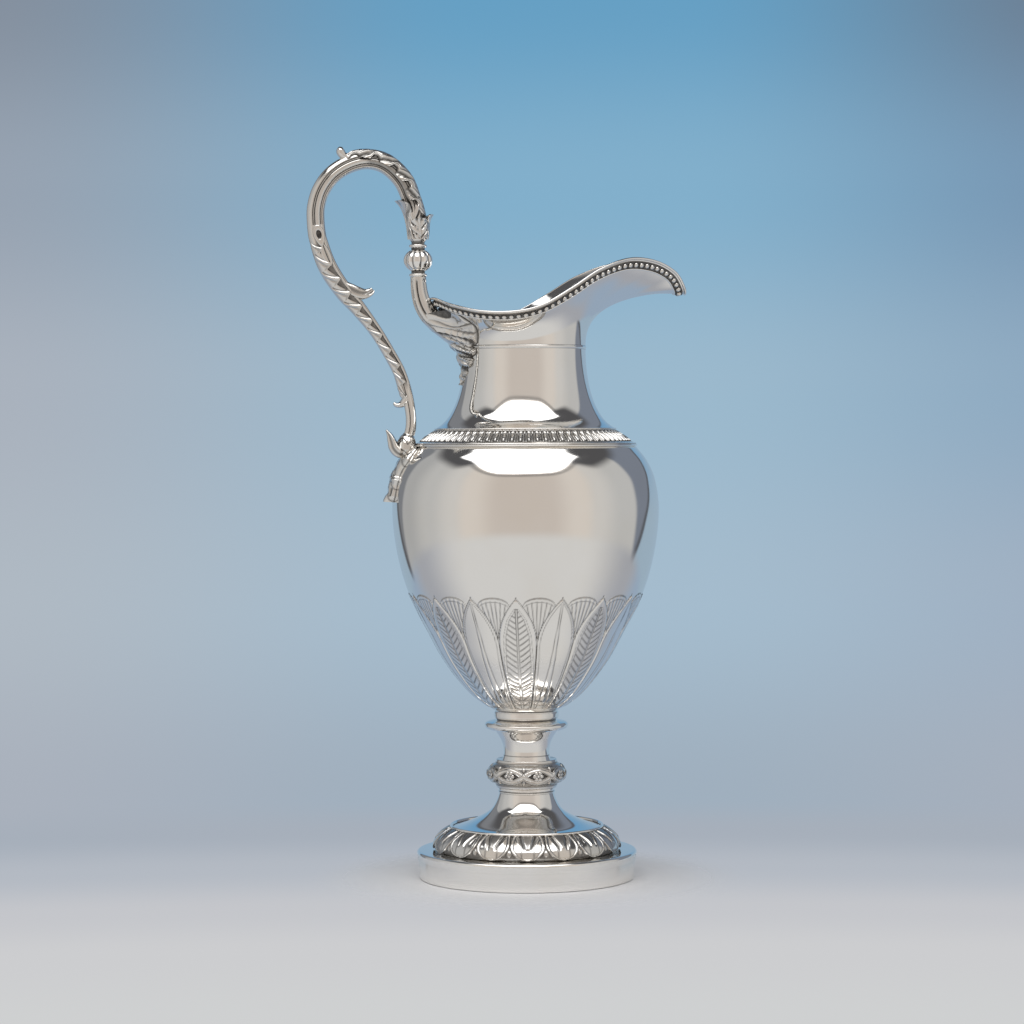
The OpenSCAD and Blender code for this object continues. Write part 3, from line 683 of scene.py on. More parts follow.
def shoulder_band():
    z, top, r = extent("shoulder_band")
    line = even(np.array([[r, z], [r - 9.8, top]]), 0.33)
    count = 78

    def relief(angle, t, radius, height):
        x = angle * count / 360
        x = 2 * (x - np.round(x))
        a = abs(x)
        arch = ease(t, 0.12, 0.16) * ease(0.93 - t, 0, 0.04)
        bow = np.hypot(a / 0.82, np.clip(t - 0.52, 0, 1) / 0.36)
        rim = groove(bow - 0.86, 0.14) * arch
        seed = hump(np.hypot(a / 0.38, (t - 0.46) / 0.27))
        dart = hump(np.hypot((1 - a) / 0.3, (t - 0.85) / 0.12))
        lift = 0.55 * rim + 0.75 * seed + 0.5 * dart
        foot = np.maximum(ease(0.1 - t, 0, 0.03), ease(t, 0.95, 0.98))
        lift = lift * (1 - foot) + 0.35 * foot - 0.35
        dark = np.clip(1 - 1.25 * rim - 1.35 * seed - dart, 0, 1) * (1 - foot) * 0.92
        dark = np.maximum(dark, 0.8 * groove(t - 0.13, 0.025))
        return lift, dark

    piece("Shoulder_band", [turned(line, backing(line, SHEET, 3), 1404, relief)], rolled)


def neck_foot_wire():
    z, top, r = extent("neck_foot_wire")
    line = np.vstack([[[r - 0.5, z]], arc_line((r - 0.45, (z + top) / 2), 0.45, -60, 60, 8),
                      [[r - 0.9, top]]])
    piece("Neck_foot_wire", [turned(line, bore(r - 3.1, line), 256)], polished)


def neck():
    z, top, r0 = extent("neck")
    r = reach("neck_seam_ring") - 1
    line = np.vstack([bezier_line((r0, z), (r + 5.5, z + 5), (r + 0.3, z + 22), (r, z + 41), 60),
                      [[r, top]]])
    line = soften(even(line, 1.0), 4)
    piece("Neck", [turned(line, backing(line, SHEET, 3), 256)], polished)


def neck_seam_ring():
    z, top, r = extent("neck_seam_ring")
    line = np.vstack([[[r - 1, z]], arc_line((r - 1.7, (z + top) / 2), 1.05, -45, 45, 14),
                      [[r - 1, top]]])

    def relief(angle, t, radius, height):
        return 0, 0.7 * ease(abs(t - 0.5), 0.40, 0.49)

    piece("Neck_seam_ring", [turned(line, line[[-1, 0]] - [0.1, 0], 256, relief)], polished)


# ---------------------------------------------------------------- lip and rim

LIP_Z = high("neck")
SPOUT_X = 88.5
CREST = 45.3
# Half of the rim from the spout tip to the back, as in the CAD: [x, y, height above the seam,
# rise of the wall's root, then how far the wall's upper handle lies inward in x, in y, and down]
RIM_HALF = [
    (SPOUT_X, 0, 28.5, 26, 27, 0, -1.5), (SPOUT_X - 1.2, 4.5, 32, 26, 22, 0.5, 5),
    (SPOUT_X - 7.5, 11, 39.5, 27, 15, 2, 11.5), (SPOUT_X - 20, 18.5, CREST - 0.5, 27, 7.5, 3, 15),
    (SPOUT_X - 36, 27, CREST, 26, 4, 4.5, 15), (SPOUT_X - 53.5, 35.5, 39, 22, 2.5, 5.5, 13),
    (19, 42, 29, 16, 1.5, 5.5, 9), (3, 45.5, 20, 11, 0.5, 6, 5), (-12, 46, 16.3, 9, -0.5, 6, 4),
    (-29, 39, 16.6, 9, -3, 5, 4), (-43, 25, 20.5, 12, -5, 3.5, 6),
    (-49.5, 10, 24.3, 13, -6.5, 1.5, 7), (-51, 0, 25, 13, -7, 0, 7),
]
RIM_LOOP = np.array(RIM_HALF + [(x, -y, h, rise, ix, -iy, d)
                                for x, y, h, rise, ix, iy, d in RIM_HALF[-2:0:-1]])
RIM_N = len(RIM_LOOP)
NECK_R = reach("neck_seam_ring") - 1


def rim_at(s):
    """Rim values at place s round the loop, counted in stations."""
    i = np.floor(s).astype(int)
    t = (s - i)[..., None]
    a, b, c, d = [RIM_LOOP[(i + k) % RIM_N] for k in (-1, 0, 1, 2)]
    return b + 0.5 * t * ((c - a) + t * ((2 * a - 5 * b + 4 * c - d) + t * (3 * (b - c) + d - a)))


def lip_point(s, v):
    """A point of the lip's outer face: v is 0 at the seam and 1 at the rim."""
    s, v = np.broadcast_arrays(np.asarray(s, float), np.asarray(v, float))
    r = rim_at(s)
    top = r[..., :3] + [0, 0, LIP_Z]
    turn = np.arctan2(top[..., 1], top[..., 0])
    root = np.stack([NECK_R * np.cos(turn), NECK_R * np.sin(turn), np.full_like(turn, LIP_Z)], -1)
    rise = np.stack([0 * turn, 0 * turn, r[..., 3]], -1)
    return bezier(root, root + rise, top - r[..., 4:7], top, v[..., None])


def unit(v):
    return v / np.linalg.norm(v, axis=-1)[..., None]


def lip_normal(s, v):
    along = lip_point(np.asarray(s) + 0.02, v) - lip_point(np.asarray(s) - 0.02, v)
    up = (lip_point(s, np.minimum(np.asarray(v) + 0.01, 1))
          - lip_point(s, np.maximum(np.asarray(v) - 0.01, 0)))
    return unit(np.cross(along, up))


def even_rim(count):
    """Places round the rim at even distances."""
    s = np.linspace(0, RIM_N, 4801)
    run = np.concatenate([[0], np.cumsum(np.linalg.norm(np.diff(lip_point(s, 1.0), axis=0), axis=1))])
    return np.interp((np.arange(count) + 0.5) * run[-1] / count, run, s), run[-1]


def rim_frame(s):
    """Rim points, outward normals, and directions down the wall."""
    p = lip_point(s, 1.0)
    return p, lip_normal(s, 1.0), unit(lip_point(s, 0.97) - p)


def along_rim(section, places):
    """Carries a section [down, out] round the rim, running from low to high over its outer side."""
    p, n, d = rim_frame(places)
    section = np.array(section)
    points = p[None] + section[:, 0, None, None] * d[None] + section[:, 1, None, None] * n[None]
    return points, grid_quads(len(section), len(places), True, True), np.zeros(points.shape[:2])


def wire_section(r, down, out, sides=16):
    a = np.arange(sides) * 2 * math.pi / sides
    return np.stack([down - r * np.sin(a), out + r * np.cos(a)], 1)


def lip():
    places, _ = even_rim(640)
    share = np.linspace(0, 1, 52)
    s, v = np.meshgrid(places, share)
    outer = lip_point(s, v)
    n = lip_normal(s, v)
    n[0] = unit(outer[0] - [0, 0, LIP_Z])
    inner = (outer - SHEET * n)[::-1]
    points = np.concatenate([outer, inner[::3]])
    piece("Lip", [(points, grid_quads(len(points), len(places), True, True),
                   np.zeros(points.shape[:2]))], polished, sharp=50)


def rim():
    fine, length = even_rim(900)
    low_edge, high_edge, thick = 4.9, 0.7, 0.6
    strip, quads, dark = along_rim(
        [(low_edge, 0), (low_edge, 0.4), (low_edge - 0.2, thick), (2.8, thick), (high_edge + 0.2, thick),
         (high_edge, 0.4), (high_edge, 0)], fine)
    dark[1:6] = 0.95
    piece("Rim_strip", [(strip, quads, dark)], rolled)
    piece("Rim_top_wire", [along_rim(wire_section(0.75, -0.75, -0.1), fine)], polished)
    piece("Rim_lower_wire", [along_rim(wire_section(0.45, low_edge + 0.45, 0.45), fine)], polished)

    count = round(length / 3.95)  # beads, about 3.95 mm apart
    p, n, d = rim_frame(even_rim(count)[0])
    side = np.cross(d, n)
    a = np.arange(20) * 2 * math.pi / 20
    tilt = np.radians(np.linspace(0, 88, 9))[:, None]
    bead_r = 1.34
    x, y, h = bead_r * np.sin(tilt) * np.cos(a), bead_r * np.sin(tilt) * np.sin(a), bead_r * np.cos(tilt) + 0 * a
    x, y, h = [np.vstack([k, m]) for k, m in ((x, 0 * x[:2]), (y, 0 * y[:2]), (h, 0 * h[:2]))]
    x[9], y[9], h[9] = x[8], y[8], -0.1
    h[10] = -0.1
    dark = np.vstack([np.broadcast_to(0.9 * ease(tilt, 1.15, 1.5), (9, 20)), np.ones((2, 20))])
    parts = []
    for k in range(count):
        c = p[k] + (high_edge + (low_edge - high_edge) / 2) * d[k] + thick * n[k]
        points = c + x[..., None] * side[k] + y[..., None] * d[k] + h[..., None] * n[k]
        parts.append((points, grid_quads(11, 20, False, True), dark))
    piece("Rim_beads", parts, rolled)


# ---------------------------------------------------------------- handle

ARCH = [(-58.5, 352, 4.1), (-59.4, 360, 4.4), (-61.8, 368, 4.6), (-67, 380.3, 4.9), (-76, 388.8, 4.9),
        (-86, 391.3, 4.9), (-96, 389, 4.9), (-105, 383.2, 4.9), (-111, 375, 4.9), (-113.8, 366, 4.9),
        (-114, 357.5, 4.9), (-113, 349, 4.9)]
TAIL = [(-113, 349, 4.9), (-107.6, 334.1, 4.9), (-98.9, 320.6, 4.6), (-91, 311.5, 4),
        (-81.7, 299.3, 3.2),
        (-74.7, 287.9, 3.1), (-68.9, 277, 3.2), (-65.3, 266, 3.2), (-63.1, 255.4, 2.9),
        (-62.9, 247, 2.9), (-64.6, 240.5, 2.9)]
STEM_X = -58.5


def from_outside(angle):
    """Angle from the outer side of a path, 0 to 180."""
    return abs(np.mod(angle, 360) - 180)


def reeds(share, angle, size):
    """Grooves along the arch between rounded reeds, and painted shade beside the edge of the leaf on its first
    half.
    """
    off = from_outside(angle)
    cuts = (66, 79, 119, 133)
    cut = np.clip(sum(groove(off - c, 3.6) for c in cuts), 0, 1)
    reed = groove(off - 99, 11)
    # painted shade: a band of the rod beside the arch leaf's edge, over the arch's first half, is darkened
    under = 0.55 * ease(0.47 - share, 0, 0.04) * ease(off, 58, 66) * ease(136 - off, 0, 12)
    return -0.7 * cut + 0.4 * reed, np.maximum(0.95 * cut, under)


def handle_arch():
    line = ARCH + [(-110.8, 342, 4.6)]  # on into the tail, which covers its end
    piece("Handle_arch", [rod(line, 16, 180, 0.9, reeds)], cast)


def handle_tail():
    def relief(share, angle, size):
        off = from_outside(angle)
        fade = ease(0.80 - share, 0, 0.06)
        bed = ease(off, 60, 68) * ease(121 - off, 0, 7) * fade * ease(share, 0.04, 0.1)
        line = groove(off - 140, 4.5) * fade
        rib = groove(off - 129, 6) * fade
        low_line = groove(off - 74, 4.5) * (1 - fade)
        dark = np.clip(0.82 * bed + 0.9 * line + 0.9 * low_line, 0, 1)
        return 0.25 * rib - 0.7 * bed - 0.5 * line - 0.5 * low_line, dark

    piece("Handle_tail", [rod([(-113.8, 356, 4.6)] + TAIL, 16, 160, 0.93, relief)], cast)


def handle_stem():
    top = high("handle_stem")
    line = [(STEM_X, top, 4.3), (STEM_X + 0.7, 320, 4.6), (STEM_X + 2.9, 312.6, 5.0),
            (STEM_X + 7.2, 306.4, 5.3),
            (STEM_X + 12.4, 304.2, 5.2), (STEM_X + 16.6, 303.8, 5.0)]

    def relief(share, angle, size):
        off = from_outside(angle)
        cut = groove(off - 69, 6) + 0.8 * groove(off - 20, 6) + 0.35 * groove(off - 128, 9)
        cut = cut * ease(0.78 - share, 0, 0.25)
        top_ring = groove(share - 0.1, 0.02) * ease(off, 60, 80)
        lift = -0.9 * cut * ease(share, 0.02, 0.12) - 0.2 * top_ring
        return lift, np.clip(0.95 * cut, 0, 1) * ease(share, 0.02, 0.1)

    piece("Handle_stem", [rod(line, 16, 128, 0.95, relief)], cast)


def shifted(part):
    """Moves a turned part onto the axis of the handle's upright."""
    points, quads, dark = part
    return points + [STEM_X, 0, 0], quads, dark


def handle_rings():
    for name, node, neck_first in (("Handle_lower_ring", "handle_lower_ring", False),
                                   ("Handle_upper_ring", "handle_upper_ring", True)):
        z, top = low(node), high(node)
        z0, z1 = (z + 1, top) if neck_first else (z, top - 1)
        r = 4.9
        ring = np.vstack([[[3.7, z0]], arc_line((r - 1.0, z0 + 1.05), 1.0, -80, 80, 12), [[3.7, z1]]])
        line = np.vstack([[[3.7, z]], ring] if neck_first else [ring, [[3.7, top]]])

        def relief(angle, t, radius, height):
            return 0, 0.9 * ease(4.0 - radius, 0, 0.25)

        piece(name, [shifted(turned(line, bore(0.03, line), 72, relief))], polished)


def handle_ball():
    z, top = low("handle_ball"), high("handle_ball")
    h, r, tall = top - z, 8.0, 62
    a = np.radians(np.linspace(-tall, tall, 60))
    line = np.stack([r * np.cos(a) - 0.02,
                     z + h / 2 * (1 + np.sin(a) / math.sin(math.radians(tall)))], 1)
    lobes = 10

    def relief(angle, t, radius, height):
        x = np.mod((angle - FRONT + 3.6) * lobes / 360 + 0.5, 1) * 2 - 1
        drop = (1 - hump(x * 0.985)) * 0.95
        return -drop * (radius / r), 0.95 * groove(abs(x) - 1, 0.13)

    piece("Handle_ball", [shifted(turned(line, bore(0.03, line), 240, relief))], polished)


def handle_cup():
    z, top, r = low("handle_leaf_cup"), high("handle_leaf_cup"), 5.0
    line = np.array([[r - 1.5, z], [r - 1.4, z + 1], [r - 0.5, z + 2], [r - 0.2, z + 3], [r - 0.1, top]])

    def relief(angle, t, radius, height):
        return 0, 0.85 * ease(z + 1.8 - height, 0, 0.6)

    piece("Handle_leaf_cup", [shifted(turned(line, bore(0.03, line), 72, relief))], cast)


# ---------------------------------------------------------------- leaves on the handle

def acanthus(lobes, slant, thick, offset=0.0):
    """A leaf of so many lobes a side, with folds that lean towards its tip."""
    def shape(share, v):
        a = abs(v)
        q = share * lobes - slant * a ** 1.3 + offset
        f = q - np.floor(q)
        lobe = ease(f, 0, 0.22) * ease(1 - f, 0, 0.45)
        lobe = lobe + (0.85 - lobe) * ease(0.55 - a, 0, 0.35)
        vein = groove(np.mod(q * 3 + 0.4, 1) - 0.5, 0.16) * ease(a, 0.10, 0.3) * ease(1 - a, 0, 0.06)
        deep = (1 - lobe) * ease(a, 0.2, 0.6)
        rib = groove(a, 0.13)
        end = ease(share, 0, 0.04) * ease(1 - share, 0, 0.03)
        lift = thick * (0.15 + 0.85 * lobe + 0.35 * rib * (1 - lobe) - 0.22 * vein * lobe) * end
        dark = np.clip(1.1 * deep - 0.12, 0, 0.95)
        dark = np.maximum(dark, 0.6 * vein)
        dark = np.maximum(dark, 0.7 * groove(a - 0.2, 0.05) * ease(1 - share, 0.02, 0.2))
        return lift, np.maximum(dark, 0.9 * ease(a, 0.96, 1.0))
    return shape


def lobed(base, lobes, slant, notch, offset=0.0):
    """Half angle of a leaf with so many lobes a side; base holds its half angles from end to end."""
    def half(share):
        width = np.interp(share, np.linspace(0, 1, len(base)), base)
        q = share * lobes - slant + offset
        f = q - np.floor(q)
        serrate = 0.04 * abs(np.sin(f * math.pi * 4))
        return width * (1 - notch * (1 - ease(f, 0, 0.35) * ease(1 - f, 0, 0.3)) - serrate)
    return half


def handle_arch_leaf():
    line = [(-59.0, 357, 4.4), (-60.2, 363, 4.5), (-62.4, 369.5, 4.7), (-67, 380.3, 4.9),
            (-76, 388.8, 4.9),
            (-85, 391.2, 4.9), (-91.5, 391.2, 4.5), (-95.6, 390.6, 3.4), (-98.4, 390.2, 2.4)]
    main = leaf(line, 36, 180, lobed((96, 108, 106, 106, 104, 100, 92, 80, 70), 5.5, 1.2, 0.36, 0.2),
                acanthus(5.5, 1.2, 1.5, 0.2), 0.95, 64)
    tip = rod([(-90.0, 392.4, 2.0), (-93.2, 392.4, 2.1), (-96.2, 392.6, 2.1), (-98.8, 393.6, 2.2),
               (-100.2, 395.3, 2.4), (-100.4, 396.9, 2.1), (-100.2, 398.3, 1.0)], 10, 28, 1.2)
    piece("Handle_arch_leaf", [main, tip], cast)


def cup_leaves():
    """Upright leaves round the foot of the arch; the two in the handle's plane flare at their tips."""
    parts = []
    foot, lobes = 348.6, 2.4  # where the leaves start, and how many lobes each has on a side
    for facing, top, flare, wide in ((0, 370.0, 5.4, 62), (180, 361.5, 3.0, 60), (96, 359.5, 1.2, 44),
                                     (264, 359.5, 1.2, 44), (66, 367, 0.6, 34), (294, 367, 0.6, 34)):
        rise = top - foot
        line = [(STEM_X, foot, 4.3), (STEM_X, foot + 0.3 * rise, 5.0),
                (STEM_X - 0.3, foot + 0.55 * rise, 5.2 + 0.1 * flare),
                (STEM_X - 0.6, foot + 0.8 * rise, 5.2 + 0.42 * flare), (STEM_X - 0.8, top, 5.2 + flare)]

        def half(share, wide=wide):
            notch = 1 - 0.14 * groove(np.mod(share * lobes, 1) - 0.5, 0.16) * ease(0.75 - share, 0, 0.1)
            belly = 0.66 + 0.34 * np.sin(math.pi * share * 0.8)
            return wide * belly * (1 - 0.35 * ease(share, 0.86, 1.0) ** 2) * notch

        def shape(share, v, depth=0.35 if flare > 2 else 1.0):
            a = abs(v)
            f = np.mod(share * lobes - 1.1 * a, 1)
            lobe = ease(f, 0, 0.2) * ease(1 - f, 0, 0.4)
            rib = groove(a, 0.15)
            lift = (0.35 + 0.95 * np.maximum(depth * lobe * ease(a, 0.05, 0.25), 0.8 * rib)
                    + 0.3 * hump(a * 0.97))
            dark = np.clip((1 - lobe) * ease(a, 0.12, 0.3) - 0.05, 0, 0.92 * depth ** 0.5)
            return lift, np.maximum(0.85 * ease(a, 0.94, 1.0), dark)

        parts.append(leaf(line, 12, facing, half, shape, 1.0, 40, 0.5))
    piece("Handle_cup_leaves", parts, cast, in_cad=False)


def handle_bud():
    """An oval eye on each face, its shallow middle painted dark as the shade of a deep hollow, and a pointed
    leaf below it.
    """
    parts = []
    n, rings = 48, 20
    x0, z0, tilt = -112.8, 350.8, math.radians(14)  # its middle, and how far its top leans outwards
    for face in (-1, 1):
        a = np.arange(n) * 2 * math.pi / n
        away = np.linspace(0, 1, rings)[:, None]
        x, z = 3.1 * away * np.cos(a), 5.2 * away * np.sin(a) * (1 + 0.3 * away * (np.sin(a) < 0))
        x = x * (1 - 0.35 * away * (np.sin(a) < 0) * abs(np.sin(a)))
        out = 0.05 + 0.9 * hump((away - 0.72) / 0.34)
        y = 4.75 + out - 0.10 * (x / 3) ** 2
        front = np.stack([x0 + x * math.cos(tilt) - z * math.sin(tilt), face * y,
                          z0 + x * math.sin(tilt) + z * math.cos(tilt)], 2)
        # painted shade: the eye's middle is darkened to stand for a deep hollow
        dark = ease(0.52 - away, 0, 0.14) + 0.7 * ease(away, 0.93, 1)
        parts.append(button(front, np.array([0, face * 2.0, 0]), dark, face > 0))
        facing = 84 if face < 0 else 276

        def half(share):
            return 30 * np.sin(math.pi * np.clip(share * 0.97 + 0.03, 0, 1)) ** 0.7

        def shape(share, v):
            rib = groove(v, 0.14)
            lift = 0.6 + 0.7 * hump(abs(v) * 0.98) - 0.5 * rib
            return lift, np.maximum(0.85 * ease(abs(v), 0.82, 1), 0.9 * rib)

        line = [(-111.4, 345.5, 4.5), (-109.4, 340.0, 4.6), (-106.6, 333.5, 4.7)]
        parts.append(leaf(line, 14, facing, half, shape, 0.95, 28))
    piece("Handle_bud", parts, cast)


def handle_thumb_leaf():
    line = [(-99.5, 324.5, 2.4), (-95.8, 321.6, 3.1), (-92.2, 319.6, 3.3), (-88.8, 318.8, 2.9),
            (-86.2, 319.2, 2.3),
            (-84.4, 320.2, 1.9), (-83.2, 321.4, 1.1)]

    def relief(share, angle, size):
        fold = np.sin(np.radians(angle * 3 + 60 * share))
        near_tip = ease(share, 0.72, 0.9)
        cleft = groove(angle - 110, 14) * near_tip + groove(angle - 250, 14) * near_tip
        lift = 0.45 * fold * ease(share, 0.05, 0.3) - 0.9 * cleft
        return lift, np.clip(0.75 * groove(fold + 1, 0.6) + 0.8 * cleft, 0, 1)

    piece("Handle_thumb_leaf", [rod(line, 12, 64, 1.25, relief)], cast)


def handle_tail_leaf():
    """A long leaf down the outer side of the tail; its teeth lean downwards, with a fold on each."""
    teeth = 10.8

    def half(share):
        f = np.mod(share * teeth, 1)
        tooth = np.where(f < 0.86, (f / 0.86) ** 1.1, (1 - f) / 0.14)
        return (74 + 41 * tooth) * (1 - 0.25 * ease(share, 0.85, 1)) * ease(share, -0.05, 0.12)

    def shape(share, v):
        a = abs(v)
        f = np.mod(share * teeth, 1)
        along = f - 0.86 * ease(a, 0.22, 1.05) ** 0.9
        fold = groove(along, 0.17) * ease(a, 0.22, 0.5) * (1 - 0.4 * ease(a, 0.8, 1))
        above = groove(along - 0.30, 0.13) * ease(a, 0.35, 0.6)
        below = groove(along + 0.22, 0.08) * ease(a, 0.3, 0.5)
        end = ease(share, 0, 0.06) * ease(1 - share, 0, 0.02)
        lift = (0.5 + 0.6 * fold - 0.3 * above - 0.25 * below + 0.2 * hump(a)) * end
        dark = np.maximum(0.4 * above, 0.8 * below)
        return lift, np.maximum(dark, 0.9 * ease(a, 0.95, 1.0))

    line = [(-113.3, 350.5, 4.6)] + TAIL[1:7] + [(-66.2, 268, 3.1), (-64.9, 262.5, 2.9)]
    piece("Handle_tail_leaf", [leaf(line, 48, 180, half, shape, 0.95, 64, 0.3)], cast)


def handle_tail_curl():
    line = [(-65.2, 265.5, 1.2), (-65.7, 262.2, 2.0), (-67.2, 259.8, 2.0), (-69.2, 258.8, 1.6),
            (-71.0, 259.0, 1.3),
            (-72.2, 260.2, 0.7)]
    piece("Handle_tail_curl", [rod(line, 12, 32, 1.5)], cast)


def handle_calyx():
    """Overlapping lobes where the tail lands."""
    line = [(-64.2, 243.0, 2.9), (-64.8, 240.4, 3.9), (-65.4, 237.4, 4.5), (-65.6, 234.2, 4.2),
            (-65.4, 231, 2.8)]

    def relief(share, angle, size):
        f = np.mod(share * 2.2 + 0.5 * abs(np.sin(np.radians(angle * 2))), 1)
        lift = 0.7 * f ** 0.7 * ease(share, 0, 0.15) * ease(1 - share, 0, 0.2)
        return lift, 0.8 * groove(np.minimum(f, 1 - f), 0.07)

    piece("Handle_calyx", [rod(line, 20, 96, 1.25, relief)], cast)


def terminal_leaf():
    line = [(-66.2, 233.4, 2.2), (-69.4, 233.2, 3.0), (-72.0, 235.6, 3.0), (-73.3, 239.2, 2.4),
            (-74.5, 242.4, 1.6),
            (-76.4, 245.4, 0.5)]

    def relief(share, angle, size):
        fold = np.sin(np.radians(angle * 4))
        return 0.35 * fold * ease(1 - share, 0, 0.3), 0.7 * groove(fold + 1, 0.5)

    right = [(-65.0, 233.0, 2.2), (-61.8, 233.4, 2.5), (-58.6, 235.0, 2.1), (-55.6, 237.2, 1.3),
             (-53.4, 238.6, 0.5)]
    under = [(-65.0, 231.6, 1.6), (-61.6, 230.2, 1.9), (-58.6, 230.4, 1.3), (-56.4, 231.6, 0.5)]
    piece("Terminal_leaf", [rod(line, 12, 64, 1.7, relief), rod(right, 12, 48, 2.4, relief),
                            rod(under, 12, 48, 5.0, relief)], cast)


def body_radius(z):
    """Radius of the body's outline at a height."""
    foot, top, r = extent("body")
    form = smooth([(s * r, foot + q * (top - foot)) for s, q in BODY_FORM], 20)
    return np.interp(z, form[:, 1], form[:, 0])


def slab(rows, surface, half, shape, across=36):
    """A leaf lying on a surface. surface(share, angle) gives its points and normals, half(share)
    the half angle that it spans, and shape(share, v) its height in mm and its darkness."""
    share = np.linspace(0, 1, rows)[:, None]
    v = np.linspace(-1, 1, across + 1)[None, :]
    p, n = surface(share + 0 * v, half(share) * v)
    lift, dark = shape(share, v)
    outer = p + n * np.broadcast_to(lift, p.shape[:2])[..., None]
    inner = (p - 0.2 * n)[:, ::-1]
    points = np.concatenate([outer, inner], 1)
    dark = np.concatenate([np.broadcast_to(dark, p.shape[:2]), np.ones(p.shape[:2])], 1)
    points, dark = closed_ends(points, dark)
    return points, grid_quads(len(points), points.shape[1], False, True)[:, ::-1], dark


def terminal_plate():
    """A leaf on the shoulder that runs down to a curl standing off the body."""
    def surface(share, angle):
        z = 237.5 - 31.5 * share
        r = body_radius(z)
        slope = body_radius(z + 0.5) - body_radius(z - 0.5)
        n = unit(np.stack([np.ones_like(r), np.zeros_like(r), -slope], -1))
        a = np.radians(180 + angle)
        p = np.stack([r * np.cos(a), r * np.sin(a), z], -1)
        return p, np.stack([n[..., 0] * np.cos(a), n[..., 0] * np.sin(a), n[..., 2]], -1)

    def half(share):
        return np.interp(share, [0, 0.1, 0.28, 0.42, 0.55, 0.62, 0.7, 0.9, 1],
                         [3, 8.5, 9.5, 6.6, 5.2, 6.2, 5.0, 4.2, 2.0])

    def shape(share, v):
        a = abs(v)
        f = np.mod(share * 5 - 0.9 * a, 1)
        thick = np.interp(share, [0, 0.15, 0.35, 0.52, 0.6, 0.68, 0.85, 0.95, 1],
                          [1.6, 2.6, 3.2, 3.4, 4.2, 3.5, 3.6, 5.0, 5.6])
        ripple = 0.35 * ease(f, 0, 0.3) * ease(1 - f, 0, 0.5) * ease(a, 0.1, 0.3)
        lift = thick * (0.12 + 0.88 * hump(a)) + ripple
        knot = groove(abs(share - 0.6) - 0.03 - 0.03 * np.cos(4 * a), 0.012)
        slot = groove(a - 0.72, 0.14) * ease(share, 0.74, 0.78) * ease(0.92 - share, 0, 0.04)
        cut = groove(np.minimum(f, 1 - f), 0.06) * ease(a, 0.1, 0.3)
        lift = lift - 0.8 * slot - 0.4 * knot
        return lift, np.clip(np.maximum(0.75 * cut, np.maximum(0.95 * slot, 0.8 * knot)), 0, 1)

    piece("Terminal_plate", [slab(120, surface, half, shape)], cast)


# The mount's rows, from the stem down: its spine [x, z], how far the edge lies above the seam, its
# half angle round the neck, and how sharply the section falls away from the spine
MOUNT_ROWS = [(-57.6, 307.0, 20.0, 24, 1.9), (-55.4, 303.4, 13.5, 31, 1.7), (-51.4, 299.6, 9.5, 35, 1.5),
              (-47.0, 296.0, 5, 34, 1.3), (-42.2, 292.4, 0, 31, 1.1), (-38.0, 288.2, -5, 29, 1.0),
              (-35.8, 283.4, -10, 24, 0.9), (-34.6, 278.4, -14.5, 17, 0.9),
              (-34.2, 273.6, -18.5, 10, 0.9),
              (-34.0, 269.8, -21.5, 2, 0.9)]


def past_fold(seams, share):
    """Five times the distance along the rows from the nearest fold, as it lies at the spine."""
    return np.min([abs(share - float(seam[0, 0])) for seam in seams[1:-1]], axis=0) * 5


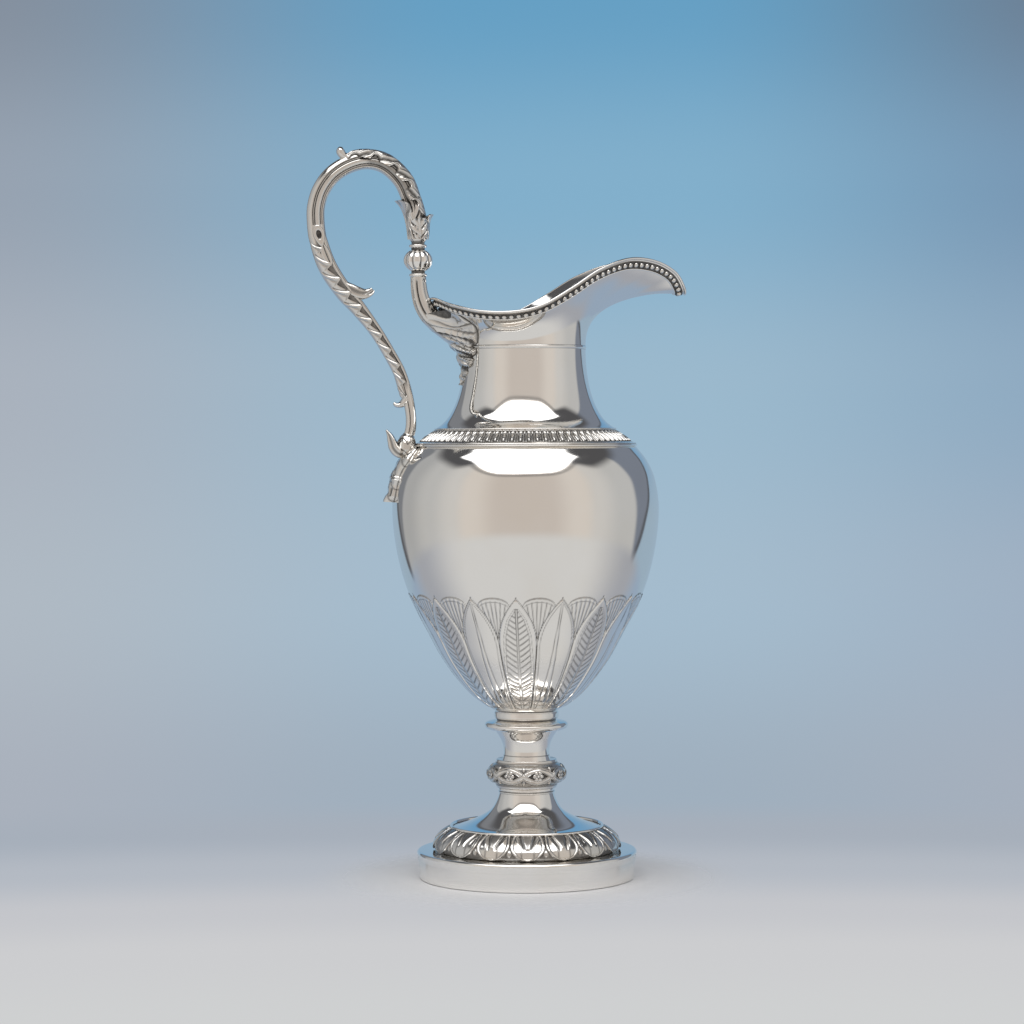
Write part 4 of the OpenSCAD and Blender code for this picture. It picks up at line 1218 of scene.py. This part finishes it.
def handle_mount():
    """The acanthus leaf that spreads from the stem over the neck, under the rim."""
    rows = smooth(MOUNT_ROWS, 22)
    spine, up, half, fall = rows[:, :2], rows[:, 2:3], rows[:, 3:4], rows[:, 4:5]
    share = np.linspace(0, 1, len(rows))[:, None]
    v = np.linspace(-1, 1, 141)[None, :]
    a = abs(v)
    s = np.linspace(0, RIM_N, 1601)
    p = lip_point(s, 1.0)
    turn = np.degrees(np.unwrap(np.arctan2(p[:, 1], p[:, 0])))

    def wall(angle):
        """Points on the neck or the lip at so many degrees from the back, and their normals."""
        place = np.interp(180 + angle, turn, s)
        q = np.clip((up + 0 * angle) / 25, 0.004, 0.8)
        on_lip, lip_n = lip_point(place, q), lip_normal(place, q)
        r = np.radians(180 + angle)
        neck_n = np.stack([np.cos(r), np.sin(r), 0 * r], -1)
        on_neck = neck_n * NECK_R
        on_neck[..., 2] = LIP_Z + up + 0 * angle
        above = (up > 0)[..., None]
        return np.where(above, on_lip, on_neck), np.where(above, lip_n, neck_n)

    notch = sum(groove(share - c, 0.022) for c in (0.46, 0.59, 0.74))
    base, n = wall(half * (1 - 0.16 * notch) * v)
    middle, _ = wall(0 * up)
    reach_out = np.stack([spine[:, 0], 0 * spine[:, 0], spine[:, 1]], 1) - middle[:, 0]
    away = (np.sqrt(a * a + 0.015) - 0.1225) / 0.885
    weight = (1 - np.clip(away, 0, 1)) ** fall

    # the folds between the lobes, at the spine and at the edge, as shares of the rows
    serrate = 0.014 * saw(a * 8, 0.65) * ease(a, 0.05, 0.2)
    seams = [0.11 * groove(a - 0.56, 0.24) - 0.02, 0.20 + 0.24 * a + serrate, 0.50 + 0.07 * a + serrate,
             0.71 + 0.01 * a + serrate, 0 * a + 1.02]
    # painted shadow: above the first fold, by the stem, the leaf is left flat and painted dark as the shade
    # under the rim
    lift, dark = 0 * share + 0 * a, 0.9 * (share < seams[0])
    for top, bottom in zip(seams, seams[1:]):
        f = (share - top) / (bottom - top)
        on = (f >= 0) & (f < 1)
        f = np.clip(f, 0, 1)
        fan = f + 0.10 * np.sin(a * 5 + 1) * f * (1 - f) * 4
        veins = (groove(np.mod(fan * 3.2 + 0.35, 1) - 0.5, 0.14)
                 * ease(f, 0.12, 0.3) * ease(0.93 - f, 0, 0.2))
        veins = veins * ease(a, 0.12, 0.4)
        wave = 0.7 * np.sin(2 * math.pi * (fan * 1.7 + a * 1.1)) * ease(a, 0.15, 0.4) * ease(f, 0.1, 0.3)
        rise = (0.2 + 2.0 * f ** 0.9 * ease(1 - f, 0, 0.07) + wave) * ease(a, 0.0, 0.25)
        lift = np.where(on, rise - 0.6 * veins, lift)
        # painted shadow at the top of each lobe after the first, under the raised edge of the lobe above, and a
        # darker band along each lobe's lower edge
        shade = 0.95 * ease(0.26 - f, 0, 0.16) * ease(a, 0.04, 0.2) * (top[0, 0] > 0)
        shade = shade + 0.75 * ease(f, 0.93, 1)
        dark = np.where(on, np.maximum(0.75 * veins, shade), dark)
    tips = 1 - 0.55 * groove(past_fold(seams, share), 0.16)
    edge = ease(1.0 - a, 0, 0.05)
    points = base + reach_out[:, None] * weight[..., None] + n * (lift * edge * tips + 0.25)[..., None]
    dark = np.maximum(dark, 0.9 * ease(a, 0.96, 1))
    inner = (base - 0.6 * n)[:, ::-1]
    points = np.concatenate([points, inner], 1)
    points, dark = closed_ends(points, np.concatenate([dark, np.ones_like(dark)], 1))
    piece("Handle_mount", [(points, grid_quads(len(points), points.shape[1], False, True)[:, ::-1],
                            dark)], cast)


# ---------------------------------------------------------------- camera, light and stage

CAM_YAW = 0.00475  # radians
CAM_PITCH = 0.0262
CAM_ROLL = -0.0042


def camera():
    data = bpy.data.cameras.new("Camera")
    data.lens, data.sensor_width = 100, 36
    cam = bpy.data.objects.new("Camera", data)
    bpy.context.scene.collection.objects.link(cam)
    away, height = 1.557, 0.241
    place = Vector((-away * math.sin(VIEW_TURN), -away * math.cos(VIEW_TURN), height))
    look = (Matrix.Rotation(CAM_YAW - VIEW_TURN, 4, "Z")
            @ Matrix.Rotation(math.radians(90) - CAM_PITCH, 4, "X"))
    cam.matrix_world = Matrix.Translation(place) @ look @ Matrix.Rotation(CAM_ROLL, 4, "Z")
    bpy.context.scene.camera = cam


def stage():
    """A pale round floor that fades out into the backdrop."""
    mat = bpy.data.materials.new("Floor")
    mat.use_nodes = True
    nodes, links = mat.node_tree.nodes, mat.node_tree.links
    shader, out = nodes["Principled BSDF"], nodes["Material Output"]
    shader.inputs["Base Color"].default_value = (0.72, 0.727, 0.742, 1)
    shader.inputs["Roughness"].default_value = 0.9
    geo = nodes.new("ShaderNodeNewGeometry")
    length = nodes.new("ShaderNodeVectorMath")
    length.operation = "LENGTH"
    links.new(geo.outputs["Position"], length.inputs[0])
    fade = nodes.new("ShaderNodeMapRange")
    fade.interpolation_type = "SMOOTHSTEP"
    for key, number in (("From Min", 0.061), ("From Max", 0.125), ("To Min", 0), ("To Max", 1)):
        fade.inputs[key].default_value = number
    links.new(length.outputs["Value"], fade.inputs["Value"])
    clear = nodes.new("ShaderNodeBsdfTransparent")
    mix = nodes.new("ShaderNodeMixShader")
    links.new(fade.outputs["Result"], mix.inputs["Fac"])
    links.new(shader.outputs["BSDF"], mix.inputs[1])
    links.new(clear.outputs["BSDF"], mix.inputs[2])
    links.new(mix.outputs["Shader"], out.inputs["Surface"])
    rings, sides, drop = np.array([0.0005, 0.05, 0.1, 0.2, 0.35, 0.6]), 96, 0.0002
    a = np.arange(sides) * 2 * math.pi / sides
    points = np.stack([rings[:, None] * np.cos(a), rings[:, None] * np.sin(a),
                       np.zeros((len(rings), sides)) - drop], 2)
    mesh = bpy.data.meshes.new("Floor")
    mesh.from_pydata([tuple(p) for p in points.reshape(-1, 3)], [],
                     [tuple(int(k) for k in q)
                      for q in grid_quads(len(rings), sides, False, True)[:, ::-1]])
    mesh.materials.append(mat)
    floor = bpy.data.objects.new("Floor", mesh)
    bpy.context.scene.collection.objects.link(floor)


def world():
    """What the silver mirrors, by direction, and the plain backdrop that the camera sees."""
    w = bpy.data.worlds.new("Studio")
    bpy.context.scene.world = w
    w.use_nodes = True
    nodes, links = w.node_tree.nodes, w.node_tree.links
    nodes.clear()
    out = nodes.new("ShaderNodeOutputWorld")

    def node(kind, **settings):
        n = nodes.new(kind)
        for key, value in settings.items():
            setattr(n, key, value)
        return n

    def put(socket, value):
        if isinstance(value, (int, float)):
            socket.default_value = value
        elif isinstance(value, tuple):
            socket.default_value = (*value, 1)
        else:
            links.new(value, socket)

    def calc(kind, a, b=0.0):
        n = node("ShaderNodeMath", operation=kind)
        put(n.inputs[0], a)
        put(n.inputs[1], b)
        return n.outputs[0]

    def step(value, lo, hi, to_lo=0.0, to_hi=1.0):
        n = node("ShaderNodeMapRange", interpolation_type="SMOOTHSTEP")
        for socket, v in zip(n.inputs, (value, lo, hi, to_lo, to_hi)):
            put(socket, v)
        return n.outputs[0]

    def mix(fac, a, b):
        n = node("ShaderNodeMix", data_type="RGBA")
        put(n.inputs[0], fac)
        put(n.inputs[6], a)
        put(n.inputs[7], b)
        return n.outputs[2]

    def within(value, lo, hi, soft):
        """1 between lo and hi, softly 0 outside."""
        past_lo = step(value, lo - soft, lo + soft)
        return calc("MULTIPLY", past_lo, step(value, hi - soft, hi + soft, 1.0, 0.0))

    coord = node("ShaderNodeTexCoord").outputs["Generated"]
    turn = node("ShaderNodeVectorRotate", rotation_type="Z_AXIS")
    turn.inputs["Angle"].default_value = VIEW_TURN
    links.new(coord, turn.inputs["Vector"])
    parts = node("ShaderNodeSeparateXYZ")
    links.new(turn.outputs[0], parts.inputs[0])
    x, y, z = parts.outputs
    # azimuth from the camera's side: 0 towards it, positive to its right
    azimuth = calc("MULTIPLY", calc("ARCTAN2", x, calc("MULTIPLY", y, -1.0)), 180 / math.pi)
    aside = calc("ABSOLUTE", azimuth)
    height = calc("MULTIPLY", calc("ARCSINE", z), 180 / math.pi)

    # in front: a warm room between pale walls, then a dark gap, and the blue backdrop behind
    room = mix(step(aside, 22, 46), (0.57, 0.515, 0.47), (0.66, 0.61, 0.56))
    near = mix(step(aside, 52, 66), room, (0.60, 0.585, 0.565))
    seen = mix(step(aside, 66, 92), near, (0.50, 0.50, 0.495))
    seen = mix(step(azimuth, -120, -96, 1.0, 0.0), seen, (0.40, 0.405, 0.41))
    gap_right = step(azimuth, 108, 114)
    gap_left = step(azimuth, -135, -130, 1.0, 0.0)
    seen = mix(gap_right, seen, (0.19, 0.215, 0.265))
    seen = mix(gap_left, seen, (0.20, 0.21, 0.23))
    blue = mix(step(height, -4, 30), (0.33, 0.44, 0.545), (0.15, 0.335, 0.55))
    past_right = calc("SUBTRACT", azimuth, calc("ADD", 131.0, calc("MULTIPLY", height, 1.1)))
    past_left = calc("SUBTRACT", calc("MULTIPLY", azimuth, -1.0),
                     calc("ADD", 145.0, calc("MULTIPLY", height, 0.7)))
    past = calc("MAXIMUM", past_right, past_left)
    seen = mix(step(calc("ABSOLUTE", past), 0.5, 5, 0.75, 0.0), seen, (0.07, 0.07, 0.075))
    seen = mix(step(past, 0, 4), seen, blue)
    # above: a dark ceiling with one large soft box in front, lower in the middle
    ceiling = calc("SUBTRACT", height, step(aside, 46, 84, 52.0, 36.0))
    seen = mix(step(ceiling, 0, 10), seen, (0.085, 0.085, 0.09))
    bottom = calc("ADD", step(aside, 24, 80, 42.0, 56.0), calc("MULTIPLY", azimuth, 0.03))
    lift = calc("SUBTRACT", height, bottom)
    wide = within(azimuth, -97, 84, 3)
    line = calc("MULTIPLY", within(lift, -5.5, -1.5, 1.5), within(azimuth, -66, 98, 4))
    seen = mix(calc("MULTIPLY", line, 0.55), seen, (0.10, 0.10, 0.105))
    box = calc("MULTIPLY", calc("MULTIPLY", wide, step(lift, -1.5, 1.5)), step(height, 80, 86, 1.0, 0.0))
    # below: the pale floor
    under = mix(step(aside, 55, 112), (0.64, 0.635, 0.625), (0.37, 0.385, 0.425))
    under = mix(step(aside, 112, 140), under, (0.31, 0.40, 0.52))
    seen = mix(step(height, -17, -12, 1.0, 0.0), seen, under)
    glow = node("ShaderNodeBackground")
    put(glow.inputs[0], mix(box, seen, (1.0, 1.0, 1.0)))
    put(glow.inputs[1], calc("ADD", 1.0, calc("MULTIPLY", box, 1.5)))

    # the backdrop: blue above, paler and greyer down to the floor, by height in three columns
    def column(stops):
        n = node("ShaderNodeValToRGB")
        ramp = n.color_ramp
        ramp.interpolation = "EASE"
        for k, (degrees, colour) in enumerate(stops):
            stop = ramp.elements[k] if k < 2 else ramp.elements.new(1.0)
            stop.position = (degrees + 14) / 24
            stop.color = (*colour, 1)
        put(n.inputs[0], calc("DIVIDE", calc("ADD", height, 14.0), 24.0))
        return n.outputs[0]

    floor = [(-11.5, (0.62, 0.63, 0.635)), (-10.2, (0.605, 0.61, 0.625)), (-9.4, (0.555, 0.565, 0.595)),
             (-8.6, (0.455, 0.49, 0.545)), (-7.9, (0.385, 0.43, 0.495))]
    left = column(floor + [(-7.2, (0.40, 0.44, 0.505)), (-3.2, (0.43, 0.485, 0.545)),
                           (1.0, (0.40, 0.445, 0.51)),
                           (5.0, (0.31, 0.365, 0.44)), (8.8, (0.235, 0.28, 0.345))])
    middle = column(floor + [(-7.2, (0.35, 0.43, 0.515)), (-3.2, (0.375, 0.50, 0.61)),
                             (1.0, (0.33, 0.485, 0.61)),
                             (5.0, (0.225, 0.43, 0.60)), (8.8, (0.135, 0.35, 0.55))])
    right = column(floor + [(-7.2, (0.38, 0.43, 0.505)), (-3.2, (0.35, 0.435, 0.54)),
                            (1.0, (0.275, 0.40, 0.53)),
                            (5.0, (0.19, 0.31, 0.45)), (8.8, (0.155, 0.215, 0.295))])
    aside_back = calc("MULTIPLY", calc("ARCTAN2", x, y), 180 / math.pi)
    sky = mix(step(aside_back, -11, -1), left, middle)
    sky = mix(step(aside_back, 3, 11.5), sky, right)
    view = node("ShaderNodeBackground")
    put(view.inputs[0], sky)
    put(view.inputs[1], 1.0)
    ray = node("ShaderNodeLightPath")
    pick = node("ShaderNodeMixShader")
    links.new(ray.outputs["Is Camera Ray"], pick.inputs[0])
    links.new(glow.outputs[0], pick.inputs[1])
    links.new(view.outputs[0], pick.inputs[2])
    links.new(pick.outputs[0], out.inputs["Surface"])


bpy.context.scene.view_settings.view_transform = "Standard"

for build in (plinth, foot_border, foot_wire, foot_dome, stem_collar, knop, knop_rosettes, stem_spool,
              stem_flange, body_collar, body, shoulder_wire, shoulder_band, neck_foot_wire, neck,
              neck_seam_ring, lip, rim, handle_arch, handle_tail, handle_stem, handle_rings,
              handle_ball, handle_cup, handle_arch_leaf, cup_leaves, handle_bud, handle_thumb_leaf,
              handle_tail_leaf, handle_tail_curl, handle_calyx, terminal_leaf, terminal_plate,
              handle_mount,
              camera, stage, world):
    build()
